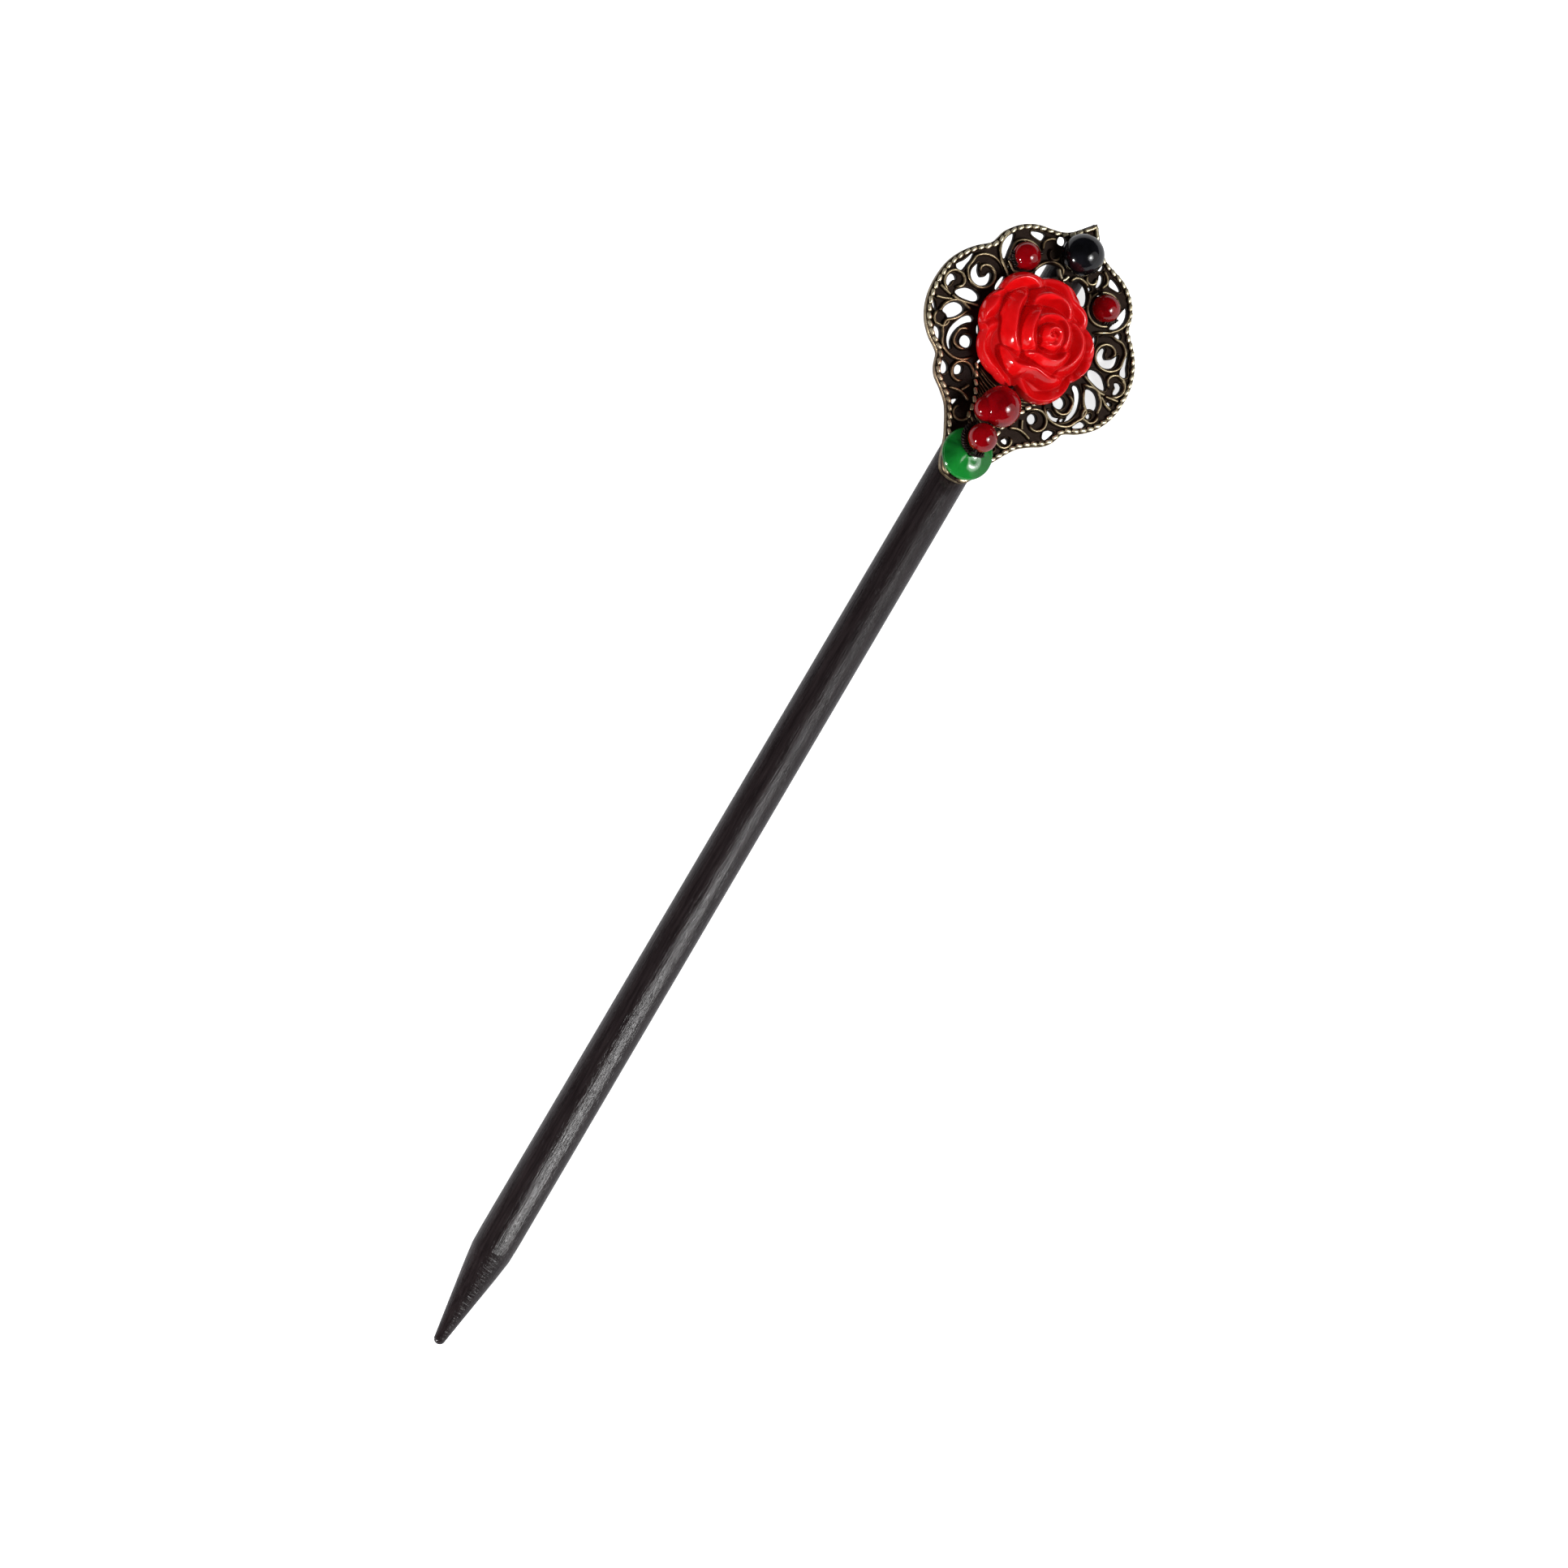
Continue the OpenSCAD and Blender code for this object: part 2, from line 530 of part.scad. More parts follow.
module rose() {
    rings = 27;
    spokes = 80;
    grid = [for (i = [1 : rings], j = [0 : spokes - 1]) let (
        a = 360 * j / spokes,
        r = rose_edge(a) * pow(i / rings, 0.85),
        x = r * cos(a),
        y = r * sin(a)
    ) [x, y, rose_z(x, y)]];
    foot = [for (j = [0 : spokes - 1]) let (a = 360 * j / spokes, r = rose_edge(a) - petal_t)
        [r * cos(a), r * sin(a), 0]];
    at = function (i, j) i * spokes + (j % spokes);
    top = rings * spokes + spokes;
    color(coral)
    in_head()
    translate([0, rose_y, ridge_z + seat_gap])
    polyhedron(
        points = concat(grid, foot, [[0, 0, rose_z(0, 0)]]),
        faces = concat(
            [for (j = [0 : spokes - 1]) [top, at(0, j + 1), at(0, j)]],
            [for (i = [0 : rings - 1], j = [0 : spokes - 1]) [at(i, j), at(i, j + 1), at(i + 1, j + 1)]],
            [for (i = [0 : rings - 1], j = [0 : spokes - 1]) [at(i, j), at(i + 1, j + 1), at(i + 1, j)]],
            [[for (j = [0 : spokes - 1]) at(rings, j)]]
        ),
        convexity = 8
    );
}

// beads and wires

// a round bead on its wire: place, hole height and direction from the wire's row
module round_bead(w, d) {
    in_head()
    translate([w[0], w[1], w[3]])
    rotate([0, 90, w[2]])
    difference() {
        sphere(d = d, $fn = curve_fn);
        cylinder(r = hole_r, h = 2 * d, center = true, $fn = wire_fn);
    }
}

module staple(w) {
    back = seat_r + seat_gap;
    color(iron)
    in_head()
    translate([w[0], w[1], w[3]])
    rotate([0, 0, w[2]]) {
        rotate([0, 90, 0]) cylinder(r = wire_r, h = 2 * w[4], center = true, $fn = wire_fn);
        for (s = [-1, 1]) translate([s * w[4], 0, 0]) {
            sphere(r = wire_r, $fn = wire_fn);
            translate([0, 0, back - w[3]]) cylinder(r = wire_r, h = w[3] - back, $fn = wire_fn);
        }
    }
}

module black_bead() {
    color(onyx) round_bead([0, black_y, black_turn, sunk_z(black_d)], black_d);
}

module right_red_bead() {
    color(ruby) round_bead(RIGHT_WIRE, side_d);
}

module left_red_bead() {
    color(ruby) round_bead(LEFT_WIRE, side_d);
}

module small_red_bead() {
    color(ruby) round_bead([0, small_y, centre_turn, thread_z], small_d);
}

module large_red_bead() {
    color(ruby)
    in_head()
    translate([0, large_y, thread_z])
    difference() {
        union() {
            sphere(d = large_d, $fn = curve_fn);
            translate([-lobe_out, -lobe_back, 0]) sphere(d = lobe_d, $fn = curve_fn);
        }
        rotate([90, 0, 0]) cylinder(r = hole_r, h = 2 * large_d, center = true, $fn = wire_fn);
    }
}

module green_disc() {
    color(jade)
    in_head()
    translate([0, disc_y, 0])
    difference() {
        intersection() {
            translate([0, 0, disc_z]) cylinder(d = disc_d, h = 2 * disc_t, $fn = curve_fn);
            translate([0, 0, disc_cap_z]) sphere(r = disc_cap_r, $fn = curve_fn);
        }
        cylinder(r = hole_r, h = far, $fn = wire_fn);
    }
}

module centre_wire() {
    back = seat_r + seat_gap;
    color(iron)
    in_head() {
        for (y = [disc_y, centre_end]) translate([0, y, 0]) {
            translate([0, 0, thread_z]) sphere(r = wire_r, $fn = wire_fn);
            translate([0, 0, back]) cylinder(r = wire_r, h = thread_z - back, $fn = wire_fn);
        }
        translate([0, disc_y, thread_z])
        rotate([-90, 0, 0])
        cylinder(r = wire_r, h = centre_end - disc_y, $fn = wire_fn);
    }
}

module left_wire() {
    staple(LEFT_WIRE);
}

module right_wire() {
    staple(RIGHT_WIRE);
}

stick();
filigree();
rose();
black_bead();
left_red_bead();
right_red_bead();
large_red_bead();
small_red_bead();
green_disc();
centre_wire();
left_wire();
right_wire();
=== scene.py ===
"""Looks of a hair stick: a black lacquered stick with an antiqued brass filigree head, a resin
rose, onyx, dyed agate and jade beads and their dark wires, lying on a pale floor."""
import math
import bpy
import numpy as np
from mathutils import Matrix, Vector
from mathutils.geometry import delaunay_2d_cdt


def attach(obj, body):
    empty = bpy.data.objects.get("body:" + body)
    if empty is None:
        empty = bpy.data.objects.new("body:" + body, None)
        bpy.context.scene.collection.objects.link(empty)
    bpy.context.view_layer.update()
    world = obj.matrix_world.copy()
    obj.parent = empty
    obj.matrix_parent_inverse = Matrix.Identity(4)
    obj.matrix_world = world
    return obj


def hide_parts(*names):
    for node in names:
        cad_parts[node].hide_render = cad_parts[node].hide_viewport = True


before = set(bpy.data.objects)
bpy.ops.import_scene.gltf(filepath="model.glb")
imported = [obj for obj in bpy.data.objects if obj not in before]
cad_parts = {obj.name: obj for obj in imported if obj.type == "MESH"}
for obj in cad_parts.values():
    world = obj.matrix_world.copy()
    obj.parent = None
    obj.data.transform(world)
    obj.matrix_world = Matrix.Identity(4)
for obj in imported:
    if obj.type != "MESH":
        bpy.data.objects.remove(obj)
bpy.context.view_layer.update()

# ---- Stage -------------------------------------------------------------------------------------
# A matte white light table under soft studio light: one small lamp at the lower left, a softbox at
# the right and an even white room. It gives the white ground and the soft shadow in the gaps.


def srgb(code, alpha=1.0):
    """Linear colour, with alpha, of a hex colour code."""
    c = np.array([int(code[i:i + 2], 16) for i in (1, 3, 5)]) / 255
    c = np.where(c <= 0.04045, c / 12.92, ((c + 0.055) / 1.055) ** 2.4)
    return (*c.tolist(), alpha)


def node(tree, kind, inputs=(), **settings):
    """Adds a shader node. settings are its properties. inputs gives each socket a value or the
    node or socket that feeds it. A mixing node feeds others by its colour."""
    made = tree.nodes.new("ShaderNode" + kind)
    for key, value in settings.items():
        setattr(made, key, value)
    for key, value in dict(inputs).items():
        if isinstance(value, bpy.types.Node):
            colour = getattr(value, "data_type", "") == "RGBA" and value.type == "MIX"
            value = value.outputs[2 if colour else 0]
        if isinstance(value, bpy.types.NodeSocket):
            tree.links.new(value, made.inputs[key])
        else:
            made.inputs[key].default_value = value
    return made


def material(name):
    """A new node material and its tree, empty but for the output."""
    made = bpy.data.materials.new(name)
    made.use_nodes = True
    tree = made.node_tree
    tree.nodes.clear()
    return made, tree


def shaded(tree, **inputs):
    """Ends a tree in one principled surface. Its inputs' names have _ for a space."""
    surface = node(tree, "BsdfPrincipled", {k.replace("_", " "): v for k, v in inputs.items()})
    node(tree, "OutputMaterial", {"Surface": surface})


scene = bpy.context.scene
scene.view_settings.view_transform = "Standard"

floor_half = 1.5
floor_mesh = bpy.data.meshes.new("floor")
floor_mesh.from_pydata(
    [(-floor_half, -floor_half, 0), (floor_half, -floor_half, 0),
     (floor_half, floor_half, 0), (-floor_half, floor_half, 0)], [], [(0, 1, 2, 3)])
table_card, tree = material("white light table")
seen = node(tree, "LightPath").outputs["Is Camera Ray"]
glow = node(tree, "MapRange", {"Value": seen, "To Min": 0.3, "To Max": 0.75})
card = node(tree, "Mix", {0: seen, 6: srgb("#b4b4b8"), 7: srgb("#f4f4f4")}, data_type="RGBA")
shaded(tree, Base_Color=card, Roughness=0.9, Emission_Color=srgb("#ffffff"),
       Emission_Strength=glow)
floor_mesh.materials.append(table_card)
floor = bpy.data.objects.new("floor", floor_mesh)
scene.collection.objects.link(floor)

# the photograph's right and up on the table, its tilt from straight above and its field of view
right_h = Vector((0.8672, 0.4979, 0)).normalized()
up_h = Vector((-0.4979, 0.8672, 0)).normalized()
tilt = math.radians(12)
distance = 0.8
target = Vector((0.001412, -0.000154, 0.00285))
to_camera = math.cos(tilt) * Vector((0, 0, 1)) - math.sin(tilt) * up_h
camera_up = math.cos(tilt) * up_h + math.sin(tilt) * Vector((0, 0, 1))
camera_data = bpy.data.cameras.new("camera")
camera_data.angle = math.radians(15.003)
camera_data.clip_start = 0.01
camera = bpy.data.objects.new("camera", camera_data)
camera.matrix_world = Matrix.Translation(target + distance * to_camera) @ Matrix(
    (right_h, camera_up, to_camera)).transposed().to_4x4()
scene.collection.objects.link(camera)
scene.camera = camera

# lamps: place in the camera's axes (right, up, toward it) from the head, distance, size, watts and
# whether polished things mirror it; the softbox is brightest in its middle, so it is three discs
lit = target + 0.035 * right_h + 0.062 * up_h
LAMPS = [
    ((-0.8, -0.45, 0.38), 0.55, 0.06, 2.3, True),
    ((0.63, -0.3, 0.72), 0.75, 0.17, 1.8, True),
    ((0.63, -0.3, 0.72), 0.76, 0.4, 2.0, True),
    ((0.85, -0.3, 0.42), 0.8, 0.9, 1.6, True),
    ((-0.1, 0.6, 0.8), 1.1, 0.9, 1.5, False),
]
for i, (place, far, size, power, mirrored) in enumerate(LAMPS):
    lamp_data = bpy.data.lights.new(f"lamp{i}", "AREA")
    lamp_data.shape = "DISK"
    lamp_data.size = size
    lamp_data.energy = power
    lamp = bpy.data.objects.new(f"lamp{i}", lamp_data)
    aim = (place[0] * right_h + place[1] * camera_up + place[2] * to_camera).normalized()
    lamp.location = lit + far * aim
    lamp.rotation_euler = aim.to_track_quat("Z", "Y").to_euler()
    lamp.visible_glossy = mirrored
    scene.collection.objects.link(lamp)

room = bpy.data.worlds.new("room")
room.use_nodes = True
sky = room.node_tree.nodes["Background"].inputs
sky["Color"].default_value = (0.95, 0.97, 1.0, 1)
sky["Strength"].default_value = 0.3
scene.world = room
room.cycles_visibility.glossy = False

# ---- Stick -------------------------------------------------------------------------------------
# One round wooden stick, turned and carved to a blunt tip, stained black and lacquered to a satin
# gloss. The head is glued to a flat filed on its last 34 mm.

# lengths in mm, as in the CAD; box is the middle of the part's box in the CAD's own axes
overall_l, stick_l, stick_d, taper_l, tip_d = 176.6, 169.5, 5.7, 14.0, 1.6
head_l, flat_h = 41.3, 0.5
box_x, box_y = 0.728423, 88.2995
roll = math.radians(19.4275)
stick_r, tip_r = stick_d / 2, tip_d / 2
tab_y = overall_l - head_l
seat_r = stick_r - flat_h


def add_piece(name, points, faces, surface, replaced, sharp=None, values=None):
    """Makes a piece of one material from points in mm and a list of arrays of faces.
    values are further numbers for each point, by name."""
    mesh = bpy.data.meshes.new(name)
    mesh.from_pydata((points / 1000).tolist(), [], [f for part in faces for f in part.tolist()])
    mesh.polygons.foreach_set("use_smooth", np.ones(len(mesh.polygons), bool))
    mesh.materials.append(surface)
    if sharp:
        mesh.set_sharp_from_angle(angle=math.radians(sharp))
    for key, value in (values or {}).items():
        numbers = mesh.attributes.new(key, "FLOAT", "POINT").data
        numbers.foreach_set("value", value.astype(np.float32))
    mesh.update()
    piece = bpy.data.objects.new(name, mesh)
    scene.collection.objects.link(piece)
    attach(piece, "root")
    if replaced:
        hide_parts(*replaced)


def turns(count):
    """Angles of even steps round a circle."""
    return np.linspace(0, 2 * math.pi, count, endpoint=False)


def grid_faces(rows, columns, wrap=True):
    """Four-sided faces of a grid of points. wrap joins the end of each row to its start."""
    across = np.arange(columns if wrap else columns - 1)
    i, j = np.meshgrid(np.arange(rows - 1) * columns, across, indexing="ij")
    k = (j + 1) % columns
    return np.stack([i + j, i + k, i + columns + k, i + columns + j], -1).reshape(-1, 4)


def fans(rows, columns):
    """Triangles that close a grid's first and last row, each to a point that follows the grid."""
    j = np.arange(columns)
    k = (j + 1) % columns
    last, pole = (rows - 1) * columns, rows * columns
    return np.vstack([np.stack([k, j, np.full(columns, pole)], -1),
                      np.stack([j + last, k + last, np.full(columns, pole + 1)], -1)])


# section from the tip to the head: a round tip, the taper, the shaft and a broken edge at the end
taper_end, shaft_rows, stick_sides = taper_l + 1.2, 150, 128
tip_turn = np.linspace(0, math.pi / 2, 9)[:-1]
taper = tip_r + (taper_end - tip_r) * np.linspace(0, 1, 60)[:-1] ** 1.05
length = np.concatenate([
    tip_r * (1 - np.cos(tip_turn)), taper,
    np.linspace(taper_end, stick_l - 0.3, shaft_rows), [stick_l - 0.1, stick_l]])
radius = np.concatenate([
    tip_r * np.sin(tip_turn),
    np.minimum(tip_r + (stick_r - tip_r) * ((taper - tip_r) / (taper_l - tip_r)), stick_r),
    np.full(shaft_rows, stick_r), [stick_r - 0.05, stick_r - 0.25]])
# the turned shoulder at the end of the taper is eased over about two millimetres
radius = radius - 0.05 * np.exp(-((length - taper_l) / 1.6) ** 2)
r, h, a = radius[1:, None], length[1:, None], turns(stick_sides)
ring = np.stack([r * np.cos(a), h + 0 * a, r * np.sin(a)], -1)
stick_points = np.vstack([ring.reshape(-1, 3), [[0, 0, 0], [0, stick_l, 0]]])
# the flat: points above the plane of the seat are pushed down to it where the head lies
up = np.array([math.sin(roll), 0, math.cos(roll)])
under_head = stick_points[:, 1] > tab_y - 0.3
cut = np.where(under_head, np.maximum(stick_points @ up - seat_r, 0), 0)
stick_points = stick_points - cut[:, None] * up + [-box_x, -box_y, stick_r]


def textured(name):
    """A new node material, its tree, and the place on the piece in metres for its textures."""
    made, tree = material(name)
    return made, tree, node(tree, "TexCoord").outputs["Object"]


def noise(tree, place, scale, detail, **more):
    """Adds a noise texture, in features per metre."""
    return node(tree, "TexNoise", {"Vector": place, "Scale": scale, "Detail": detail, **more})


def remap(tree, value, start, end, low, high):
    """Adds a node that takes a value from start..end to low..high."""
    return node(tree, "MapRange", {"Value": value, "From Min": start, "From Max": end,
                                   "To Min": low, "To Max": high})


def ramp(tree, value, *stops):
    """Adds a colour ramp. stops are pairs of a position and a hex colour."""
    made = node(tree, "ValToRGB", {"Fac": value})
    elements = made.color_ramp.elements
    for element, (position, code) in zip(elements, (stops[0], stops[-1])):
        element.position, element.color = position, srgb(code)
    for position, code in stops[1:-1]:
        elements.new(position).color = srgb(code)
    return made


def bumps(tree, height, distance, strength=1.0, under=None):
    """Adds bumps, distance high in metres, over the ones under them."""
    inputs = {"Strength": strength, "Distance": distance, "Height": height}
    return node(tree, "Bump", inputs if under is None else {**inputs, "Normal": under})


# black lacquered wood: near-black stain, a satin coat, and a long grain that shows as thin greyer
# lines and as fine ridges that break up the highlight
lacquered_wood, tree, place = textured("black lacquered wood")
along = node(tree, "Mapping", {"Vector": place, "Scale": (1, 0.06, 1)})
grain = noise(tree, along, 2800, 4, Roughness=0.6)
fine = noise(tree, along, 7500, 3, Roughness=0.6)
tint = ramp(tree, grain, (0.35, "#1a1516"), (0.75, "#2d2627"))
rough = remap(tree, noise(tree, place, 220, 4), 0.3, 0.75, 0.09, 0.17)
bump = bumps(tree, fine, 0.00005, under=bumps(tree, grain, 0.00006))
# the carved taper is rougher, with short marks across the grain
across = node(tree, "Mapping", {"Vector": place, "Scale": (0.25, 1, 0.25)})
y_place = node(tree, "SeparateXYZ", {0: place}).outputs["Y"]
carved = remap(tree, y_place, -0.0715, -0.0765, 0.0, 0.9)
bump = bumps(tree, noise(tree, across, 2600, 3), 0.00008, carved, bump)
shaded(tree, Base_Color=tint, Roughness=rough, Normal=bump, Specular_IOR_Level=0.3)
add_piece("lacquered_stick", stick_points,
          [grid_faces(len(r), stick_sides)[:, ::-1], fans(len(r), stick_sides)[:, ::-1]],
          lacquered_wood, ["stick"], sharp=35)

# ---- Filigree head -----------------------------------------------------------------------------
# One brass casting, pierced through and antiqued: dark in the recesses and rubbed bright on the
# scroll lines, the rope border and the rim of the tab. It is glued to the stick's flat.

# lengths in mm, as in the CAD, but the cast floor at low_z lies a little deeper than the solid's,
# so that the scroll lines throw a shadow
head_w, plate_t, seat_gap, head_in, head_turn = 31.5, 1.2, 0.08, 0.25, math.radians(0.5)
ridge_h, ridge_w, rope_w, rope_pitch, rope_fill = 0.4, 0.34, 0.56, 1.08, 0.74
rose_d, rose_y = 17.5, 22.6
half_w = head_w / 2
back_z = seat_r + seat_gap
floor_z = seat_r + seat_gap + plate_t
low_z, ridge_z = floor_z - 0.2, floor_z + ridge_h
turn_y = tab_y + (stick_l - tab_y) / 2


def in_head(points):
    """Takes points from the head's own axes (across, from the tab to the point, up from the
    stick's axis) to the part's: turned in its plane, moved to the left and rolled to the right."""
    x, y, z = points[:, 0], points[:, 1] + tab_y - turn_y, points[:, 2]
    across = x * math.cos(head_turn) - y * math.sin(head_turn) - head_in
    along = x * math.sin(head_turn) + y * math.cos(head_turn)
    return np.stack([
        across * math.cos(roll) + z * math.sin(roll) - box_x,
        along + turn_y - box_y,
        z * math.cos(roll) - across * math.sin(roll) + stick_r], -1)


def smooth(line, steps, closed=False):
    """Smooth curve through points, the cubic that passes each of them in the direction of its
    neighbours, with steps parts from each point to the next."""
    p = np.asarray(line, float)
    if closed:
        a, b, c, d = np.roll(p, 1, 0), p, np.roll(p, -1, 0), np.roll(p, -2, 0)
    else:
        a, b, c, d = np.vstack([p[:1], p[:-2]]), p[:-1], p[1:], np.vstack([p[2:], p[-1:]])
    t = (np.arange(steps) / steps)[None, :, None]
    a, b, c, d = (v[:, None, :] for v in (a, b, c, d))
    q = 2 * b + (c - a) * t + (2 * a - 5 * b + 4 * c - d) * t ** 2
    q = 0.5 * (q + (3 * b - a - 3 * c + d) * t ** 3)
    q = q.reshape(-1, p.shape[1])
    return q if closed else np.vstack([q, p[-1:]])


def pairs(numbers, unit=1000):
    """Points from a list of x, y, x, y and so on, in parts of a unit."""
    return np.array(numbers).reshape(-1, 2) / unit


# right half of the outline, tab to point: x and y in thousandths of the half width and the length,
# as in the gaps, the stems and the tongue
OUTLINE = [
    0, 0, 105, 8, 163, 36, 199, 76, 236, 115, 277, 145, 327, 179, 384, 210, 484, 242, 566, 263,
    616, 287, 642, 312, 660, 332, 711, 348, 786, 365, 874, 396, 937, 432, 981, 477, 1000, 528,
    994, 585, 965, 631, 906, 676, 830, 713, 761, 737, 717, 757, 698, 780, 676, 808, 610, 844,
    528, 871, 434, 889, 321, 900, 233, 911, 157, 930, 82, 963, 22, 991]

# pierced gaps: side (0 both, 1 right, -1 left), then the points of a smooth closed outline
GAPS = [
    (0, [594, 657, 575, 634, 591, 614, 639, 600, 700, 601, 748, 614, 767, 634, 754, 658, 738, 665,
        716, 646, 687, 634, 661, 630, 636, 639, 620, 658]),
    (0, [160, 884, 176, 897, 205, 901, 234, 895, 243, 883, 232, 870, 205, 866, 173, 870]),
    (0, [351, 870, 403, 870, 473, 856, 466, 845, 409, 842, 358, 846]),
    (1, [243, 862, 278, 861, 300, 840, 288, 819, 265, 817, 252, 840]),
    (1, [208, 801, 224, 807, 243, 803, 243, 795, 224, 791]),
    (0, [64, 784, 83, 799, 134, 803, 198, 794, 249, 771, 268, 744, 230, 732, 153, 744]),
    (0, [604, 816, 636, 796, 645, 771, 629, 747, 597, 729, 562, 722, 553, 732, 565, 759, 572, 786,
        585, 807]),
    (1, [633, 711, 687, 711, 681, 725, 649, 730]),
    (-1, [435, 713, 470, 720, 502, 717, 502, 708, 460, 703]),
    (0, [479, 676, 508, 666, 518, 639, 508, 622, 486, 622, 473, 649]),
    (0, [821, 686, 850, 663, 869, 645, 898, 629, 907, 618, 885, 609, 847, 609, 827, 622, 821, 644,
        812, 663]),
    (0, [840, 577, 875, 588, 911, 582, 920, 565, 904, 548, 875, 542, 863, 553, 863, 565]),
    (0, [581, 561, 601, 575, 658, 580, 716, 575, 757, 563, 792, 548, 792, 536, 741, 532, 671, 536,
        613, 544]),
    (0, [645, 501, 671, 515, 728, 515, 776, 502, 808, 482, 808, 462, 767, 458, 735, 451, 706, 457,
        677, 474]),
    (1, [760, 432, 776, 446, 799, 443, 805, 432, 786, 424]),
    (1, [869, 509, 888, 516, 911, 512, 911, 504, 888, 500, 872, 502]),
    (-1, [863, 453, 901, 473, 936, 479, 923, 464, 888, 452]),
    (0, [534, 496, 572, 501, 620, 486, 655, 459, 674, 430, 665, 400, 633, 378, 591, 365, 575, 372,
        610, 391, 623, 418, 610, 447, 575, 469, 534, 484]),
    (1, [607, 370, 550, 356, 492, 354, 447, 365, 441, 376, 473, 378, 518, 371, 562, 376, 601, 391]),
    (0, [438, 420, 460, 436, 505, 440, 543, 430, 550, 413, 527, 399, 479, 397, 447, 405]),
    (0, [419, 459, 441, 479, 473, 494, 479, 482, 454, 464]),
    (0, [281, 405, 304, 400, 319, 383, 310, 373, 291, 381]),
    (1, [173, 366, 192, 359, 195, 342, 179, 339, 169, 351]),
    (-1, [390, 327, 412, 343, 454, 339, 466, 322, 438, 305, 403, 312]),
    (1, [316, 322, 332, 337, 371, 339, 399, 327, 396, 312, 367, 302, 329, 307]),
    (0, [511, 310, 543, 323, 591, 326, 581, 307, 556, 286, 524, 284, 505, 297]),
    (-1, [300, 241, 326, 236, 348, 226, 329, 216, 307, 220]),
    (1, [217, 205, 240, 219, 272, 217, 281, 206, 262, 198, 230, 198]),
    (1, [160, 174, 188, 173, 204, 162, 192, 156, 169, 161]),
    (0, [706, 381, 732, 400, 767, 409, 802, 405, 786, 388, 744, 375, 716, 371])]

# scrolls of the right half: centre, outer and inner radius in parts of the half width (the centre's
# second number in parts of the length), start and sweep in degrees
SCROLLS = [
    [0.233, 0.209, 0.085, 0.044, 165, 255],
    [0.393, 0.318, 0.113, 0.06, 170, -310],
    [0.509, 0.422, 0.25, 0.155, 75, -225],
    [0.522, 0.418, 0.098, 0.08, 100, -240],
    [0.777, 0.439, 0.079, 0.05, 40, -280],
    [0.836, 0.57, 0.113, 0.046, -100, 360],
    [0.66, 0.644, 0.173, 0.03, 150, -550],
    [0.192, 0.829, 0.053, 0.038, 45, -240]]

# stems of the right half, each a line of points
STEMS = [
    [210, 250, 277, 263, 352, 264, 434, 255],
    [280, 300, 300, 283, 324, 269],
    [585, 513, 648, 518, 717, 515, 786, 494, 824, 467, 838, 452],
    [541, 543, 616, 534, 692, 525, 767, 521, 820, 525],
    [780, 513, 855, 499, 930, 489],
    [811, 520, 890, 526, 945, 530],
    [440, 678, 522, 698, 591, 717, 629, 749, 642, 786, 616, 823],
    [63, 784, 100, 797, 145, 801, 189, 791, 239, 764, 277, 737],
    [164, 882, 226, 878, 296, 867, 333, 845, 308, 818]]

# edge of the ribbed tongue under the beads
TONGUE = [150, 200, 165, 250, 192, 283, 233, 313, 277, 345, 325, 380]

black_d, side_d, side_span, seat_part = 5.8, 3.9, 13.3, 0.86
large_d, lobe_d, small_d, disc_d, disc_t, disc_rim, disc_y = 5.7, 3.6, 4.0, 7.2, 1.7, 0.7, 4.0
wire_d, wire_clear = 0.5, 0.15
wire_r = wire_d / 2
hole_r = wire_r + wire_clear
side_x, side_y, black_y = side_span / 2, 31.6121, 36.0
side_reach = side_d / 2 + wire_r + seat_gap
small_y = disc_y + wire_r + small_d / 2
large_y = small_y + small_d / 2 + seat_gap + large_d / 2
centre_end = large_y + large_d / 2 + wire_r + seat_gap
wire_turn = math.radians(-43)

in_plate = np.array([half_w, head_l])
half_line = smooth(pairs(OUTLINE) * in_plate, 3)
head_line = np.vstack([half_line, [[0, head_l]], half_line[:0:-1] * [-1, 1]])


def sunk_z(d):
    """Height of the centre of a round bead that lies in its round seat."""
    return floor_z + math.sqrt((d / 2 + seat_gap) ** 2 - (d / 2 * seat_part) ** 2)


def round_loop(x, y, r, points=36):
    """A circle as a loop of points, counter-clockwise."""
    a = turns(points)
    return np.stack([x + r * np.cos(a), y + r * np.sin(a)], -1)


def counter_clockwise(loop):
    """The loop, turned round where it runs clockwise."""
    after = np.roll(loop, -1, 0)
    area = (loop[:, 0] * after[:, 1] - loop[:, 1] * after[:, 0]).sum()
    return loop if area > 0 else loop[::-1]


gap_loops = [counter_clockwise(smooth(pairs(gap) * in_plate * [m, 1], 4, True))
             for side, gap in GAPS for m in (1, -1) if side != -m]
seat_loops = [round_loop(x, y, d * seat_part / 2) for x, y, d in (
    (0, black_y, black_d), (side_x, side_y, side_d), (-side_x, side_y, side_d))]
wire_loops = [round_loop(0, y, hole_r, 16) for y in (disc_y, centre_end)]
wire_loops += [round_loop(m * side_x + s * m * side_reach * math.cos(wire_turn),
                          side_y + s * side_reach * math.sin(wire_turn), hole_r, 16)
               for m in (1, -1) for s in (1, -1)]


def loop_normals(loop):
    """Unit vectors to the right of the way round a loop, outward for a counter-clockwise one."""
    d = np.roll(loop, -1, 0) - np.roll(loop, 1, 0)
    return np.stack([d[:, 1], -d[:, 0]], -1) / np.linalg.norm(d, axis=1)[:, None]


